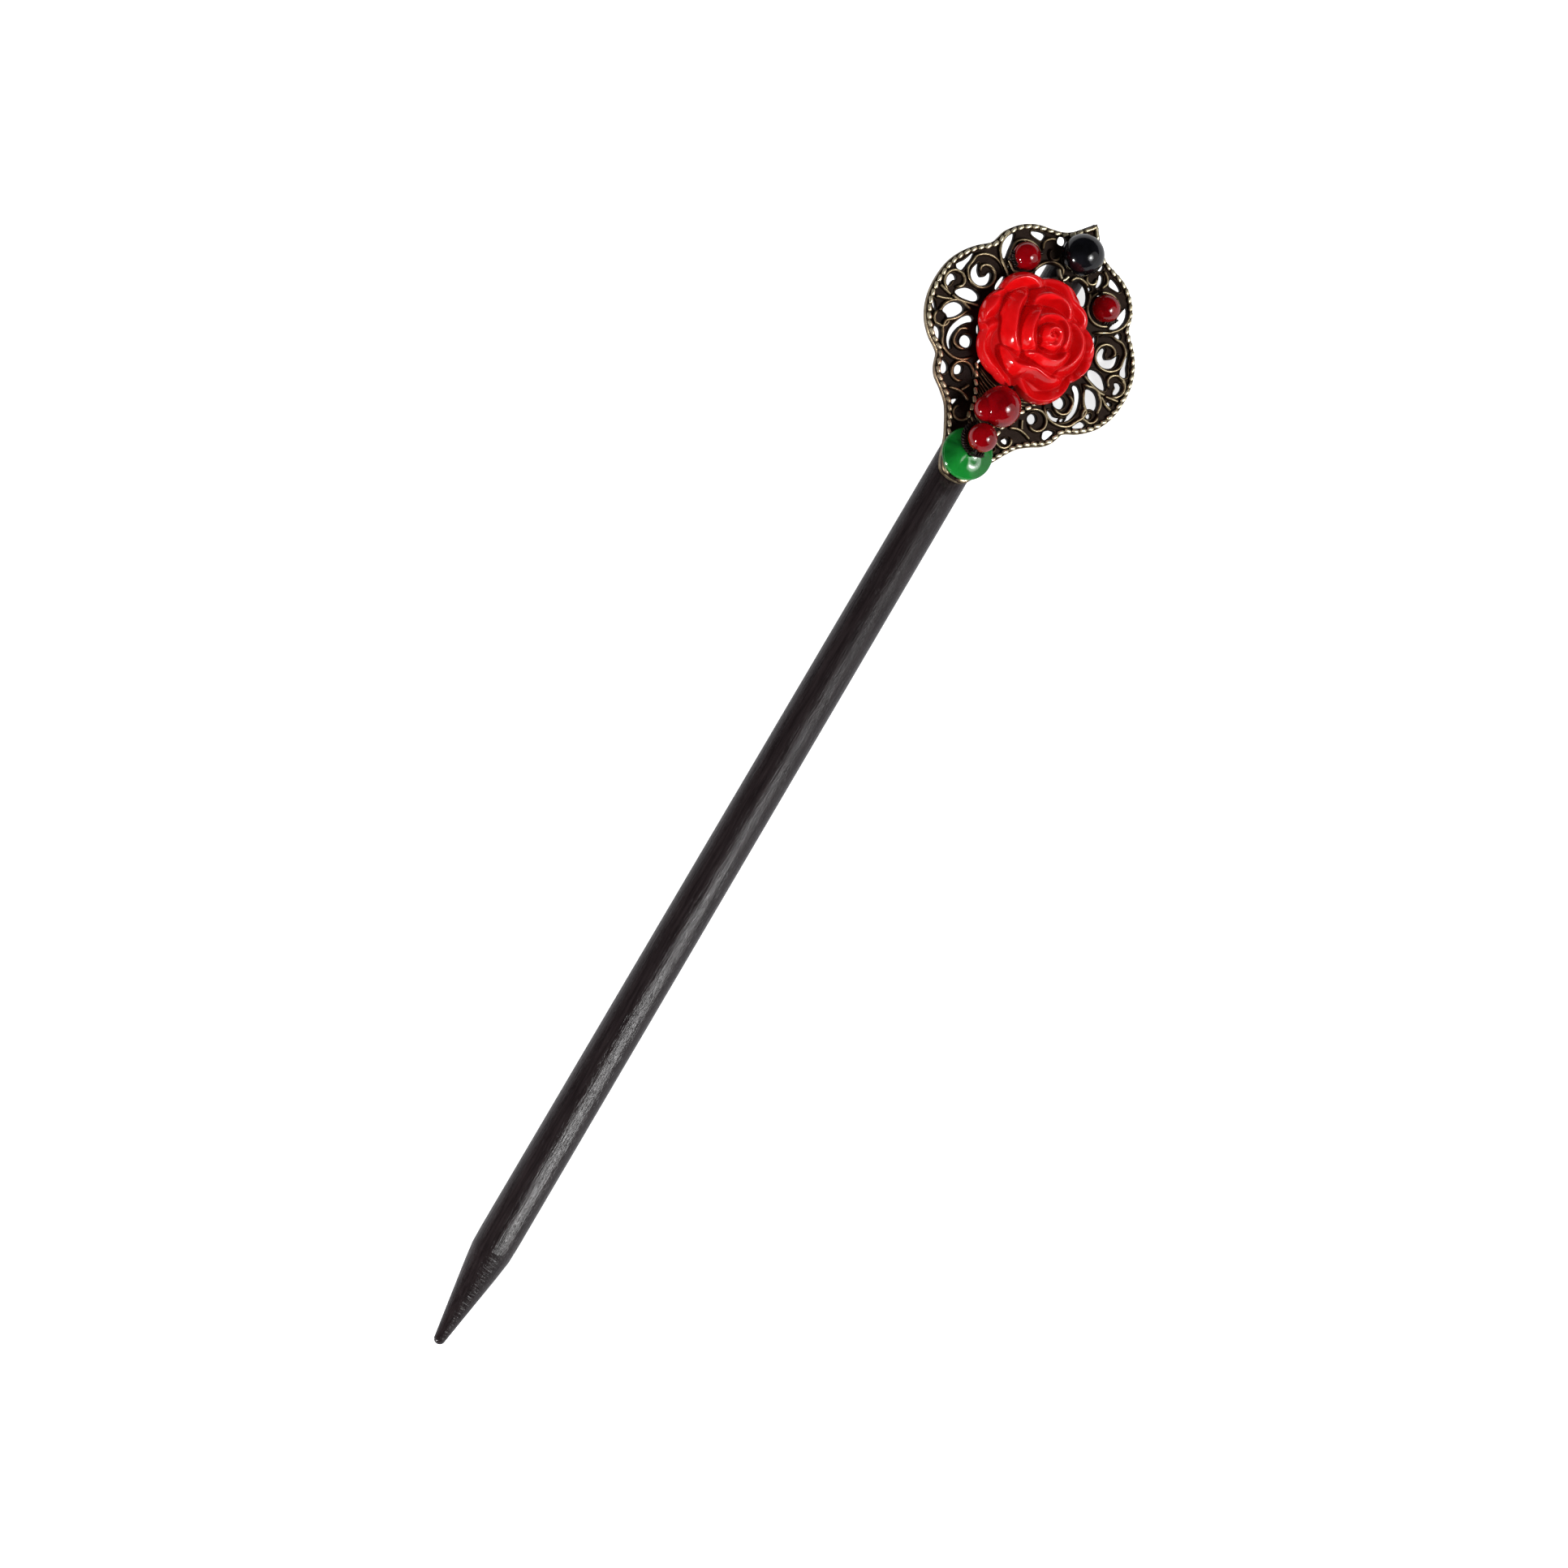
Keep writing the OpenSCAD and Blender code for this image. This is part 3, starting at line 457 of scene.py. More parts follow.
def inside(loop, points):
    """Whether each point is inside a loop: it is, if a line to the right crosses the loop an odd
    number of times."""
    x, y = points[:, 0][:, None], points[:, 1][:, None]
    a, b = loop, np.roll(loop, -1, 0)
    over = (a[:, 1] > y) != (b[:, 1] > y)
    with np.errstate(divide="ignore", invalid="ignore"):
        cross = (b[:, 0] - a[:, 0]) * (y - a[:, 1]) / (b[:, 1] - a[:, 1]) + a[:, 0]
    return (over & (x < cross)).sum(1) % 2 == 1


# plate: flat top and back, and a wall round each loop with both its edges eased; wear is how bright
# the brass is rubbed, here from the top to the back of a wall
edge_ease = 0.07
border_wear, gap_wear = (0.75, 0.62, 0.5, 0.3), (0.12, 0.08, 0.02, 0.1)
loops = [counter_clockwise(head_line)] + gap_loops + seat_loops + wire_loops
eased = [loop + (edge_ease if i else -edge_ease) * loop_normals(loop)
         for i, loop in enumerate(loops)]
starts = np.cumsum([0] + [len(loop) for loop in loops])
flat_points = np.vstack(eased)
flat_edges = [(int(s + i), int(s + (i + 1) % (e - s)))
              for s, e in zip(starts, starts[1:]) for i in range(e - s)]
cdt_points, _, triangles, _, _, _ = delaunay_2d_cdt(
    [Vector(p) for p in flat_points.tolist()], flat_edges, [], 0, 1e-5)
cdt_points = np.array([list(p) for p in cdt_points])
triangles = np.array(triangles)
middle = cdt_points[triangles].mean(1)
kept = inside(eased[0], middle)
for loop in eased[1:]:
    kept &= ~inside(loop, middle)
used, triangles = np.unique(triangles[kept], return_inverse=True)
cdt_points, triangles = cdt_points[used], triangles.reshape(-1, 3)
a, b, c = (cdt_points[triangles[:, i]] for i in range(3))
turn = (b[:, 0] - a[:, 0]) * (c[:, 1] - a[:, 1]) - (b[:, 1] - a[:, 1]) * (c[:, 0] - a[:, 0])
triangles[turn < 0] = triangles[turn < 0][:, ::-1]

# each part of the casting: its points, four-sided faces, triangles and the wear of its points
no_quads, no_tris = np.zeros((0, 4), int), np.zeros((0, 3), int)
plate = []
for z, tris, wear in ((low_z, triangles, 0.0), (back_z, triangles[:, ::-1], 0.25)):
    n = len(cdt_points)
    plate.append((np.column_stack([cdt_points, np.full(n, z)]), no_quads, tris, np.full(n, wear)))
for i, (loop, soft) in enumerate(zip(loops, eased)):
    n = len(loop)
    rows = ((soft, low_z), (loop, low_z - edge_ease), (loop, back_z + edge_ease), (soft, back_z))
    plate.append((np.vstack([np.column_stack([row, np.full(n, z)]) for row, z in rows]),
                  grid_faces(4, n)[:, ::1 if i else -1], no_tris,
                  np.repeat(gap_wear if i else border_wear, n)))


def ridge(line, half_width, top, polish=1.0, sides=8, spread=1.8, foot=low_z - 0.05):
    """A raised line along a path in the plate's plane. Its section is a half round with a flank on
    each side, which comes down to the foot spread half widths from the middle. It shrinks to
    nothing over the last few points at each end. polish is how bright its crest is rubbed. Points
    that repeat are left out."""
    line = line[np.concatenate([[True], np.linalg.norm(np.diff(line, axis=0), axis=1) > 0.005])]
    n = len(line)
    i = np.arange(n)
    scale = np.clip(np.minimum(i, n - 1 - i) / max(3.0, n * 0.12), 0, 1)[:, None] ** 0.5
    a = np.linspace(0, math.pi, sides)
    section = np.vstack([[spread, -1.0], np.stack([np.cos(a), np.sin(a)], -1), [-spread, -1.0]])
    d = np.gradient(line, axis=0)
    across = np.stack([d[:, 1], -d[:, 0]], -1) / np.linalg.norm(d, axis=1)[:, None]
    reach = half_width * (0.15 + 0.85 * scale) * section[:, 0]
    xy = line[:, None] + across[:, None] * reach[..., None]
    lift = np.where(section[:, 1] < 0, 0, top - foot - half_width + half_width * section[:, 1])
    z = foot + lift * (0.05 + 0.95 * scale)
    points = np.dstack([xy, z]).reshape(-1, 3)
    wear = np.clip(polish * np.clip((z - foot) / (top - foot), 0, 1).reshape(-1) ** 3, 0, 1)
    return points, grid_faces(n, len(section), False)[:, ::-1], no_tris, wear


def hugging(line, clear):
    """A line moved off the gaps: a point in a gap, or nearer to its edge than clear, goes to clear
    outside the nearest edge, if that is under 0.75 mm away. Then the line is eased, each point to
    the mean of itself and its neighbours, twice."""
    for loop, normals in fine_gaps:
        gap = np.linalg.norm(line[:, None] - loop[None], axis=2)
        i = gap.argmin(1)
        near = gap[np.arange(len(line)), i] * np.where(inside(loop, line), -1, 1)
        move = (near < clear) & (near > -0.75)
        line = np.where(move[:, None], loop[i] + clear * normals[i], line)
    for _ in range(2):
        line = np.vstack([line[:1], (line[:-2] + line[1:-1] + line[2:]) / 3, line[-1:]])
    return line


def runs_outside(line, gaps):
    """The stretches of a line that lie on the plate, outside all gaps."""
    free = ~np.any([inside(loop, line) for loop in gaps], axis=0)
    edges = np.flatnonzero(np.diff(np.concatenate([[0], free.astype(int), [0]])))
    return [line[s:e] for s, e in zip(edges[::2], edges[1::2]) if e - s > 5]


fine_gaps = [(loop, loop_normals(loop)) for loop in (smooth(gap, 4, True) for gap in gap_loops)]
lines = []
for x, y, outer_r, inner_r, start, sweep in SCROLLS:
    t = np.linspace(0, 1, int(abs(sweep) / 5) + 2)
    r = half_w * (outer_r - (outer_r - inner_r) * t ** 1.6)
    a = np.radians(start + sweep * t)
    lines.append(np.stack([x * half_w + r * np.cos(a), y * head_l + r * np.sin(a)], -1))
lines += [smooth(pairs(stem) * in_plate, 12) for stem in STEMS]
relief, cups = [], []
line_r, line_clear, line_polish, cup_sides = ridge_w / 2, ridge_w / 2 + 0.08, 0.72, 48
for line in lines:
    for m in (1, -1):
        for part in runs_outside(hugging(line * [m, 1], line_clear), gap_loops + seat_loops):
            relief.append(ridge(part, line_r, ridge_z, line_polish))
# a low dark rim follows each gap
for loop, normals in fine_gaps:
    rim_line = loop + 0.11 * normals
    rim_line = np.vstack([rim_line, rim_line[:1]])
    relief.append(ridge(rim_line, 0.1, floor_z - 0.02, 0.3, 5, foot=low_z - 0.08))
for x, y, d in ((side_x, side_y, side_d), (-side_x, side_y, side_d), (0, black_y, black_d)):
    seat = d * seat_part / 2
    # a raised ring round each side bead; the black bead has none
    if x:
        ring = round_loop(x, y, seat + 2 * ridge_w, 60)
        ring = hugging(np.vstack([ring, ring[:1]]), line_clear)
        relief.append(ridge(ring, line_r, ridge_z, line_polish))
    # the cup under the bead: a flat ring at the back of the seat, that leaves room for the bead
    cup_back, cup_top = back_z + 0.01, back_z + 0.3
    room = math.sqrt(max((d / 2 + 0.12) ** 2 - (sunk_z(d) - cup_top) ** 2, (0.5 * seat) ** 2))
    rows = ((seat + 0.06, cup_top), (room, cup_top), (room, cup_back), (seat + 0.06, cup_back))
    cups.append((np.vstack([np.column_stack([round_loop(x, y, r, cup_sides), [z] * cup_sides])
                            for r, z in rows]),
                 grid_faces(5, cup_sides) % (4 * cup_sides), no_tris, np.full(4 * cup_sides, 0.05)))
# two short bright leaves that meet in a point between the black bead and the rose
for leaf in ([-1.7, 33.0, -1.1, 32.3, -0.45, 31.8], [-0.45, 31.75, -0.15, 32.1, 0.1, 32.9]):
    relief.append(ridge(smooth(pairs(leaf, 1), 8), line_r, ridge_z + 0.1, 1.2))
tongue = smooth(pairs(TONGUE) * in_plate, 8)
ribs = 14
for m in (1, -1):
    for i in range(ribs):
        x, y = tongue[int((i + 0.6) / ribs * (len(tongue) - 1))]
        rib = smooth([[0, y - 1.35], [x * 0.5, y - 0.9], [x * 0.97, y]], 6) * [m, 1]
        relief.append(ridge(rib, 0.12, floor_z + 0.2, 0.5, 6))
# the rim inside the border: a broad smooth lip round the tab, and a low bed under the rope
d = np.gradient(half_line, axis=0)
inward = np.stack([-d[:, 1], d[:, 0]], -1) / np.linalg.norm(d, axis=1)[:, None]
rim = half_line + rope_w * 0.75 * inward
rim_tab = smooth(rim[1:9], 3)
for m in (1, -1):
    relief.append(ridge(rim_tab * [m, 1], 0.38, ridge_z, 0.95, 12, 1.05))
    relief.append(ridge(rim[4:-2] * [m, 1], 0.33, floor_z + 0.02, 0.5, 6, 1.2))
# at the point of the head the two ropes run together in a smooth bright bar
tip_part = rim[(np.abs(rim[:, 1] - (head_l - 1.65)) < 1.05) & (rim[:, 0] > 0.1)]
bar = np.vstack([tip_part, [[0, head_l - 0.58]], tip_part[::-1] * [-1, 1]])
relief.append(ridge(smooth(bar, 3), 0.25, floor_z + 0.36))

# rope: a row of slanted oblong beads along the border and along the tongue's edge. A bead is
# squarer than an ellipsoid: each cosine and sine of it is raised to the power 0.6, sign kept.
bead_rows, bead_sides = 6, 10
bead_half = [rope_pitch * rope_fill / 2 * 1.22, rope_w / 2 * 0.92, 0.3]
u, v = np.linspace(0, math.pi, bead_rows + 2)[1:-1, None], turns(bead_sides)
cos_u, sin_u, cos_v, sin_v = (np.sign(q) * np.abs(q) ** 0.6
                              for q in (np.cos(u), np.sin(u), np.cos(v), np.sin(v)))
form = np.stack([0 * v - cos_u, sin_u * cos_v, sin_u * sin_v], -1).reshape(-1, 3)
form = np.vstack([form, [[-1, 0, 0], [1, 0, 0]]])
form_faces = grid_faces(bead_rows, bead_sides), fans(bead_rows, bead_sides)
form_wear = np.clip((form[:, 2] + 0.35) / 1.1, 0, 1)
rng = np.random.default_rng(7)
rope = []
for m in (1, -1):
    for line, first, last in ((rim, disc_y, None), (tongue, 0.0, rose_y - rose_d / 2)):
        line = line * [m, 1]
        run = np.concatenate([[0], np.cumsum(np.linalg.norm(np.diff(line, axis=0), axis=1))])
        last = run[-1] - 1.9 if last is None else min(last, run[-1])
        n = round((last - first) / rope_pitch)
        s = first + (np.arange(n) + 0.5) * (last - first) / n
        x, y = (np.interp(s, run, line[:, i])[:, None] for i in (0, 1))
        dx, dy = (np.interp(s + 0.2, run, line[:, i])[:, None] - q for i, q in ((0, x), (1, y)))
        angle = np.arctan2(dy, dx) + (math.radians(-16 * m) + rng.normal(0, 0.05, n)[:, None])
        sized = form * (1 + rng.normal(0, 0.05, (n, 3)))[:, None] * bead_half
        c, s = np.cos(angle), np.sin(angle)
        for bead in np.stack([x + sized[..., 0] * c - sized[..., 1] * s,
                              y + sized[..., 0] * s + sized[..., 1] * c,
                              floor_z + 0.1 + sized[..., 2]], -1):
            rope.append((bead, *form_faces, form_wear))


def joined(parts):
    """Stacks the points of several parts, and each of their lists of faces, whose numbers then
    count on from the points of the parts before."""
    starts = np.cumsum([0] + [len(part[0]) for part in parts])
    return [np.vstack([part[i] + (start if i else 0) for part, start in zip(parts, starts)])
            for i in range(len(parts[0]))]


parts = plate + cups + relief + rope
head_points, head_quads, head_tris = joined([part[:3] for part in parts])
head_wear_and_shade = np.concatenate([part[3] for part in parts])
# darker brass between the left bead and the black one, and beside the tongue: partly black glue,
# partly painted shade of the beads
for x, y, wide, part in ((-3.7, 34.0, 1.9, 0.85), (-3.9, 8.9, 1.5, 0.6), (-5.6, 30.2, 1.2, 0.5)):
    far = (head_points[:, 0] - x) ** 2 + (head_points[:, 1] - y) ** 2
    head_wear_and_shade = head_wear_and_shade * (1 - part * np.exp(-far / wide ** 2))
head_copper = 0.85 * np.exp(
    -((head_points[:, 0] + 6) / 5) ** 2 - ((head_points[:, 1] - 17) / 9) ** 2)


def attribute(tree, name):
    """Adds a node that reads one of a piece's values."""
    return node(tree, "Attribute", attribute_name=name).outputs["Fac"]


def mixed(tree, part, tint, code, blend="MIX"):
    """Adds a node that mixes a part of a hex colour into a tint."""
    return node(tree, "Mix", {0: part, 6: tint, 7: srgb(code)}, data_type="RGBA",
                blend_type=blend)


# antiqued brass: blackened in the recesses, brown lower on the scroll lines and rubbed to a pale
# worn brass on whatever stands proud; uneven, with a fine cast grain
antiqued_brass, tree, place = textured("antiqued brass")
blotch = noise(tree, place, 900, 5, Roughness=0.6)
speck = noise(tree, place, 4200, 3, Roughness=0.6)
uneven = remap(tree, blotch, 0.25, 0.75, -0.22, 0.22)
# the wear values also hold the painted shade beside the beads
level = node(tree, "Math", {0: attribute(tree, "wear"), 1: uneven}, operation="ADD",
             use_clamp=True)
tint = ramp(tree, level, (0.0, "#22140a"), (0.2, "#2a1c12"), (0.48, "#716047"),
            (0.78, "#bbab88"), (1.0, "#f3e8c6"))
# a coppery brown where the wash has worn thin, round the tongue and on the left
tint = mixed(tree, attribute(tree, "copper"), tint, "#a8684e", "MULTIPLY")
metal = remap(tree, level, 0.1, 0.5, 0.55, 0.8)
rough = remap(tree, level, 0.0, 1.0, 0.55, 0.3)
bump = bumps(tree, blotch, 0.0001, 0.4, bumps(tree, speck, 0.00004, 0.5))
shaded(tree, Base_Color=tint, Metallic=metal, Roughness=rough, Normal=bump,
       Specular_IOR_Level=0.3)
add_piece("brass_filigree", in_head(head_points), [head_quads, head_tris], antiqued_brass,
          ["filigree"], sharp=38, values={"wear": head_wear_and_shade, "copper": head_copper})

# ---- Rose --------------------------------------------------------------------------------------
# A moulded rose of opaque coral-red resin, three rings of petals round a coiled bud, with a wet
# gloss; it is glued to the plate by its flat back.

# outer petals, which make the outline: middle of the lip and the direction it faces in degrees,
# half depth and half width, all in parts of the rose's radius
PETALS = np.array([
    [-1, 0.04, 178, 0.44, 0.5], [-0.8, 0.69, 138, 0.42, 0.42], [-0.12, 0.97, 98, 0.42, 0.48],
    [0.5, 0.74, 50, 0.36, 0.33], [0.97, 0.1, 6, 0.46, 0.5], [0.63, -0.84, -54, 0.48, 0.48],
    [-0.66, -0.72, -134, 0.44, 0.5], [-0.22, -0.905, -105, 0.36, 0.36]])

# lips of the petals, bud to outer ring: height at the middle and at the ends in mm above the back,
# fall per mm and depth of the inner side, fall per mm of the outer side, rounding of the crest, and
# the lip's x and y from the rose's centre in hundredths of a mm
LIPS = [
    (7.1, 6.6, 2.2, 0.5, 2.2, 0.12, [60, 30, 90, 10, 80, -20, 35, -35, 0, -5, -10, 56, 31, 110,
        110, 117, 170, 56, 188, -32, 162, -93, 100, -110]),
    (6.7, 6.1, 2.6, 0.9, 1.8, 0.14, [-180, 114, -151, 188, -86, 244, -6, 278, 96, 273, 189, 223,
        253, 145, 285, 67, 307, -5]),
    (6.3, 5.3, 2.8, 1.2, 1.3, 0.16, [-224, 237, -237, 116, -224, 2, -187, -95, -127, -174,
        -44, -223]),
    (6.1, 5.1, 2.6, 1.1, 1.6, 0.16, [-38, -307, 51, -287, 146, -289, 237, -272, 314, -222,
        363, -148, 392, -44]),
    (5.0, 4.2, 1.8, 1.5, 2.0, 0.18, [251, 355, 342, 344, 439, 294, 513, 209, 554, 95, 559, -32,
        516, -158, 433, -273]),
    (5.3, 4.3, 1.8, 1.5, 1.8, 0.18, [-330, 309, -319, 396, -269, 470, -183, 527, -81, 544, 24, 536,
        113, 494, 170, 433, 201, 369]),
    (5.0, 3.8, 2.8, 1.6, 1.2, 0.2, [-469, 360, -495, 230, -485, 113, -446, -4, -399, -114,
        -343, -217, -265, -295, -167, -355]),
    (4.7, 3.4, 2.4, 1.4, 1.3, 0.2, [-345, -420, -250, -475, -147, -528, -55, -518, 59, -469,
        168, -439, 279, -441, 392, -437, 497, -378]),
    (3.6, 2.6, 0.9, 1.6, 1.0, 0.7, [-783, 222, -803, 312, -755, 424, -673, 522, -585, 584,
        -472, 612, -379, 595, -318, 552]),
    (3.3, 2.5, 0.8, 1.4, 1.1, 0.6, [-350, 677, -267, 721, -152, 763, -42, 762, 55, 702, 144, 639,
        265, 616, 371, 585, 434, 527, 449, 440]),
    (2.9, 2.3, 0.8, 1.2, 1.1, 0.6, [519, 407, 587, 405, 669, 355, 712, 283, 737, 163]),
    (2.8, 2.2, 0.8, 1.2, 1.1, 0.6, [778, 91, 791, -68, 782, -195, 760, -284]),
    (3.0, 2.3, 0.9, 1.4, 1.1, 0.6, [680, -216, 702, -327, 674, -467, 605, -602, 522, -710,
        404, -792, 284, -797, 189, -736, 103, -669, 21, -597]),
    (3.4, 2.5, 0.9, 1.6, 1.1, 0.6, [-95, -794, -213, -754, -369, -716, -514, -670, -621, -598,
        -681, -476, -693, -362, -663, -260, -595, -170]),
    (3.0, 2.4, 0.8, 1.3, 1.0, 0.6, [-765, -237, -796, -182, -785, -86, -754, 25, -746, 148])]
bud = np.array([0.8, 0.1])
petal_t, rose_r = 0.55, rose_d / 2
facing = np.radians(PETALS[:, 2])
deep, wide = PETALS[:, 3] * rose_r, PETALS[:, 4] * rose_r
petal_x = (PETALS[:, 0] - PETALS[:, 3] * np.cos(facing)) * rose_r
petal_y = (PETALS[:, 1] - PETALS[:, 3] * np.sin(facing)) * rose_r


def rose_surface(x, y):
    """Height of the rose: the highest of its petals and of a low dome under them. Each petal falls
    away from its lip. With far = sqrt(d * d + round * round) - round at a distance d, the fall on
    the bud's side is depth * (1 - exp(-slope * far / depth)) and an even slope, a hollow, and on
    the other side slope * (0.9 * far + 0.38 * far * far). The two are mixed by how far the way to
    the point leans outward. It also gives how near the point is to the lip of its petal and how
    near to the valley between its petal and the next, 0 to 1."""
    p = np.stack([x, y], -1).reshape(-1, 2).astype(np.float32)
    z = 1.0 + 2.2 * (1 - (p ** 2).sum(1) / rose_r ** 2)
    second, lip_gap = np.full_like(z, -9), np.full_like(z, 9)
    for middle_h, end_h, slope_in, depth_in, slope_out, soft, points in LIPS:
        line = smooth(pairs(points, 100), 10).astype(np.float32)
        # the way from the nearest point of the lip, and that point's place along it
        step = np.diff(line, axis=0)
        gap = p[:, None] - line[None, :-1]
        t = np.clip((gap * step).sum(2) / (step ** 2).sum(1), 0, 1)
        gap = gap - t[..., None] * step
        i = (gap ** 2).sum(2).argmin(1)
        nearest = np.arange(len(p)), i
        gap, t = gap[nearest], (i + t[nearest]) / len(step)
        lip = end_h + (middle_h - end_h) * np.sin(math.pi * t) ** 0.6
        d = np.sqrt((gap ** 2).sum(1))
        out = p - gap - bud
        out /= np.linalg.norm(out, axis=1)[:, None]
        mix = 0.5 + 0.5 * np.clip((gap * out).sum(1) / (d + 1e-4) * 1.6, -1, 1)
        far = np.sqrt(d ** 2 + soft ** 2) - soft
        fall_in = depth_in * (1 - np.exp(-slope_in * far / depth_in)) + 0.44 * d
        fall_out = slope_out * (0.9 * far + 0.38 * far ** 2)
        petal = lip - mix * fall_out - (1 - mix) * fall_in
        higher = petal > z
        second = np.where(higher, z, np.maximum(second, petal))
        z, lip_gap = np.where(higher, petal, z), np.where(higher, d, lip_gap)
    crest, valley = np.exp(-(lip_gap / 0.22) ** 2), np.exp(-(z - second) / 0.4)
    return z.reshape(x.shape), crest.reshape(x.shape), valley.reshape(x.shape)


# the outline is the farthest of the ellipses that the outer petals make, seen from the middle
rings, spokes = 170, 480
angle = turns(spokes)
bear = angle[:, None] - facing
dx, dy = np.cos(bear) / deep, np.sin(bear) / wide
ex = (petal_x * np.cos(facing) + petal_y * np.sin(facing)) / deep
ey = (petal_y * np.cos(facing) - petal_x * np.sin(facing)) / wide
dot, square = dx * ex + dy * ey, dx ** 2 + dy ** 2
root = dot ** 2 - square * (ex ** 2 + ey ** 2 - 1)
edge = np.where(root < 0, 0, (dot + np.sqrt(np.maximum(root, 0))) / square).max(1)
r = ((np.arange(1, rings + 1) / rings) ** 0.85)[:, None] * edge
x, y = r * np.cos(angle), r * np.sin(angle)
z, crest, valley = rose_surface(x, y)
for _ in range(4):
    z = (2 * z + np.roll(z, 1, 1) + np.roll(z, -1, 1)) / 4
    z[1:-1] = (2 * z[1:-1] + z[2:] + z[:-2]) / 4
# the outer petals roll down to the outline, a quarter of an ellipse over the last 1.3 mm
near_edge = np.clip((edge - r) / 1.3, 0, 1)
z = np.minimum(z, 0.7 + 3.0 * np.sqrt(1 - (1 - near_edge) ** 2) + 6 * (near_edge >= 1))
foot_r = edge - petal_t
foot = np.stack([foot_r * np.cos(angle), foot_r * np.sin(angle), np.zeros(spokes)], -1)
top_z = rose_surface(np.zeros(1), np.zeros(1))[0][0]
rose_points = np.vstack([np.dstack([x, y, z]).reshape(-1, 3), foot, [[0, 0, top_z], [0, 0, 0]]])
rose_faces = [grid_faces(rings + 1, spokes)[:, ::-1], fans(rings + 1, spokes)[:, [1, 0, 2]]]
bare = np.zeros(spokes + 2)
rose_values = {"lip": np.concatenate([crest.reshape(-1), bare]),
               "valley": np.concatenate([valley.reshape(-1), bare])}

# cast resin: opaque coral red with a clear wet gloss, which gives the white highlights on the
# lips; a faint waviness of the mould breaks them up
cast_resin, tree, place = textured("coral cast resin")
wave = noise(tree, place, 420, 3)
tint = ramp(tree, wave, (0.3, "#c90609"), (0.75, "#e01114"))
# painted light: a painted highlight makes the thin lips lighter, and a painted shade makes the
# resin darker between the petals
valley = attribute(tree, "valley")
# painted shade between the petals
part = node(tree, "Math", {0: valley, 1: 0.45}, operation="MULTIPLY")
tint = mixed(tree, part, tint, "#9c0206")
# painted highlight along the lips
part = node(tree, "Math", {0: attribute(tree, "lip"), 1: 0.22}, operation="MULTIPLY")
tint = mixed(tree, part, tint, "#f4323a")
# the gloss is dull down there, where no polish reaches
rough = remap(tree, valley, 0.1, 0.6, 0.13, 0.45)
gloss = remap(tree, valley, 0.1, 0.6, 0.5, 0.12)
bump = bumps(tree, noise(tree, place, 2600, 2), 0.00005, 0.06, bumps(tree, wave, 0.0002, 0.12))
shaded(tree, Base_Color=tint, Roughness=rough, Normal=bump, Specular_IOR_Level=gloss,
       Subsurface_Weight=0.06, Subsurface_Radius=(1.0, 0.12, 0.08), Subsurface_Scale=0.0004)
add_piece("resin_rose", in_head(rose_points + [0, rose_y, ridge_z + seat_gap]), rose_faces,
          cast_resin, ["rose"], values=rose_values)

# ---- Beads -------------------------------------------------------------------------------------
# Round drilled beads: one of polished black onyx and four of dark red dyed agate, of which the
# large one has a round lobe on its side. Each has a drilled hole with eased rims.


def bead_profile(ball_r, rows=40):
    """Closed section of a drilled bead, as (radius, height): out over a circle of radius ball_r
    and back through the hole, with both rims eased."""
    rim_a = math.acos((hole_r + 0.12) / ball_r)
    a = np.linspace(-rim_a, rim_a, rows)
    outer_part = np.stack([ball_r * np.cos(a), ball_r * np.sin(a)], -1)
    h = outer_part[-1, 1]
    ease = np.array([[hole_r + 0.05, h + 0.005], [hole_r, h - 0.06]])
    bore = np.stack([np.full(5, hole_r), np.linspace(h - 0.3, -h + 0.3, 5)], -1)
    return np.vstack([outer_part, ease, bore, ease[::-1] * [1, -1]])


def drilled(profile, sides):
    """A ring-shaped solid: a closed section turned about the third axis."""
    r, h, a = profile[:, :1], profile[:, 1:], turns(sides)
    points = np.stack([r * np.cos(a), r * np.sin(a), h + 0 * a], -1).reshape(-1, 3)
    return points, [grid_faces(len(profile) + 1, sides) % len(points)]


def placed(points, x, y, z, heading):
    """Points with their third axis laid along heading in the plate's plane, at x, y, z."""
    c, s = math.cos(heading), math.sin(heading)
    return np.stack([x + points[:, 2] * c - points[:, 0] * s,
                     y + points[:, 2] * s + points[:, 0] * c, z + points[:, 1]], -1)


# the disc's face is part of a ball; the small bead rests on it and gives the thread its height
disc_z = ridge_z + seat_gap
disc_cap_r = ((disc_d / 2) ** 2 + (disc_t - disc_rim) ** 2) / (2 * (disc_t - disc_rim))
disc_cap_z = disc_z + disc_t - disc_cap_r
thread_z = disc_cap_z + math.sqrt(
    (disc_cap_r + small_d / 2 + seat_gap) ** 2 - (small_y - disc_y) ** 2)

# onyx: a black stone with a high polish, a trace of blue in its sheen
onyx, tree, place = textured("polished black onyx")
tint = ramp(tree, noise(tree, place, 500, 4), (0.35, "#08080a"), (0.8, "#16161b"))
scuff = noise(tree, place, 6000, 2)
rough = remap(tree, scuff, 0.3, 0.8, 0.1, 0.17)
shaded(tree, Base_Color=tint, Roughness=rough, Normal=bumps(tree, scuff, 0.00003, 0.1),
       Specular_IOR_Level=0.45)

# dyed agate: a dark red stone that lets a little light in, clouded inside, with a glassy polish;
# the colour is darkest in the groove round the large bead's lobe, a painted shade
agate, tree, place = textured("dyed red agate")
cloud = noise(tree, place, 420, 5, Roughness=0.6)
tint = ramp(tree, cloud, (0.3, "#700208"), (0.75, "#a00610"))
tint = mixed(tree, attribute(tree, "crease_shade"), tint, "#2a0004")
bump = bumps(tree, noise(tree, place, 5000, 2), 0.00004, 0.1)
shaded(tree, Base_Color=tint, Roughness=0.07, Normal=bump, Transmission_Weight=0.2, IOR=1.54,
       Subsurface_Weight=0.2, Subsurface_Radius=(1.0, 0.1, 0.08), Subsurface_Scale=0.0007)

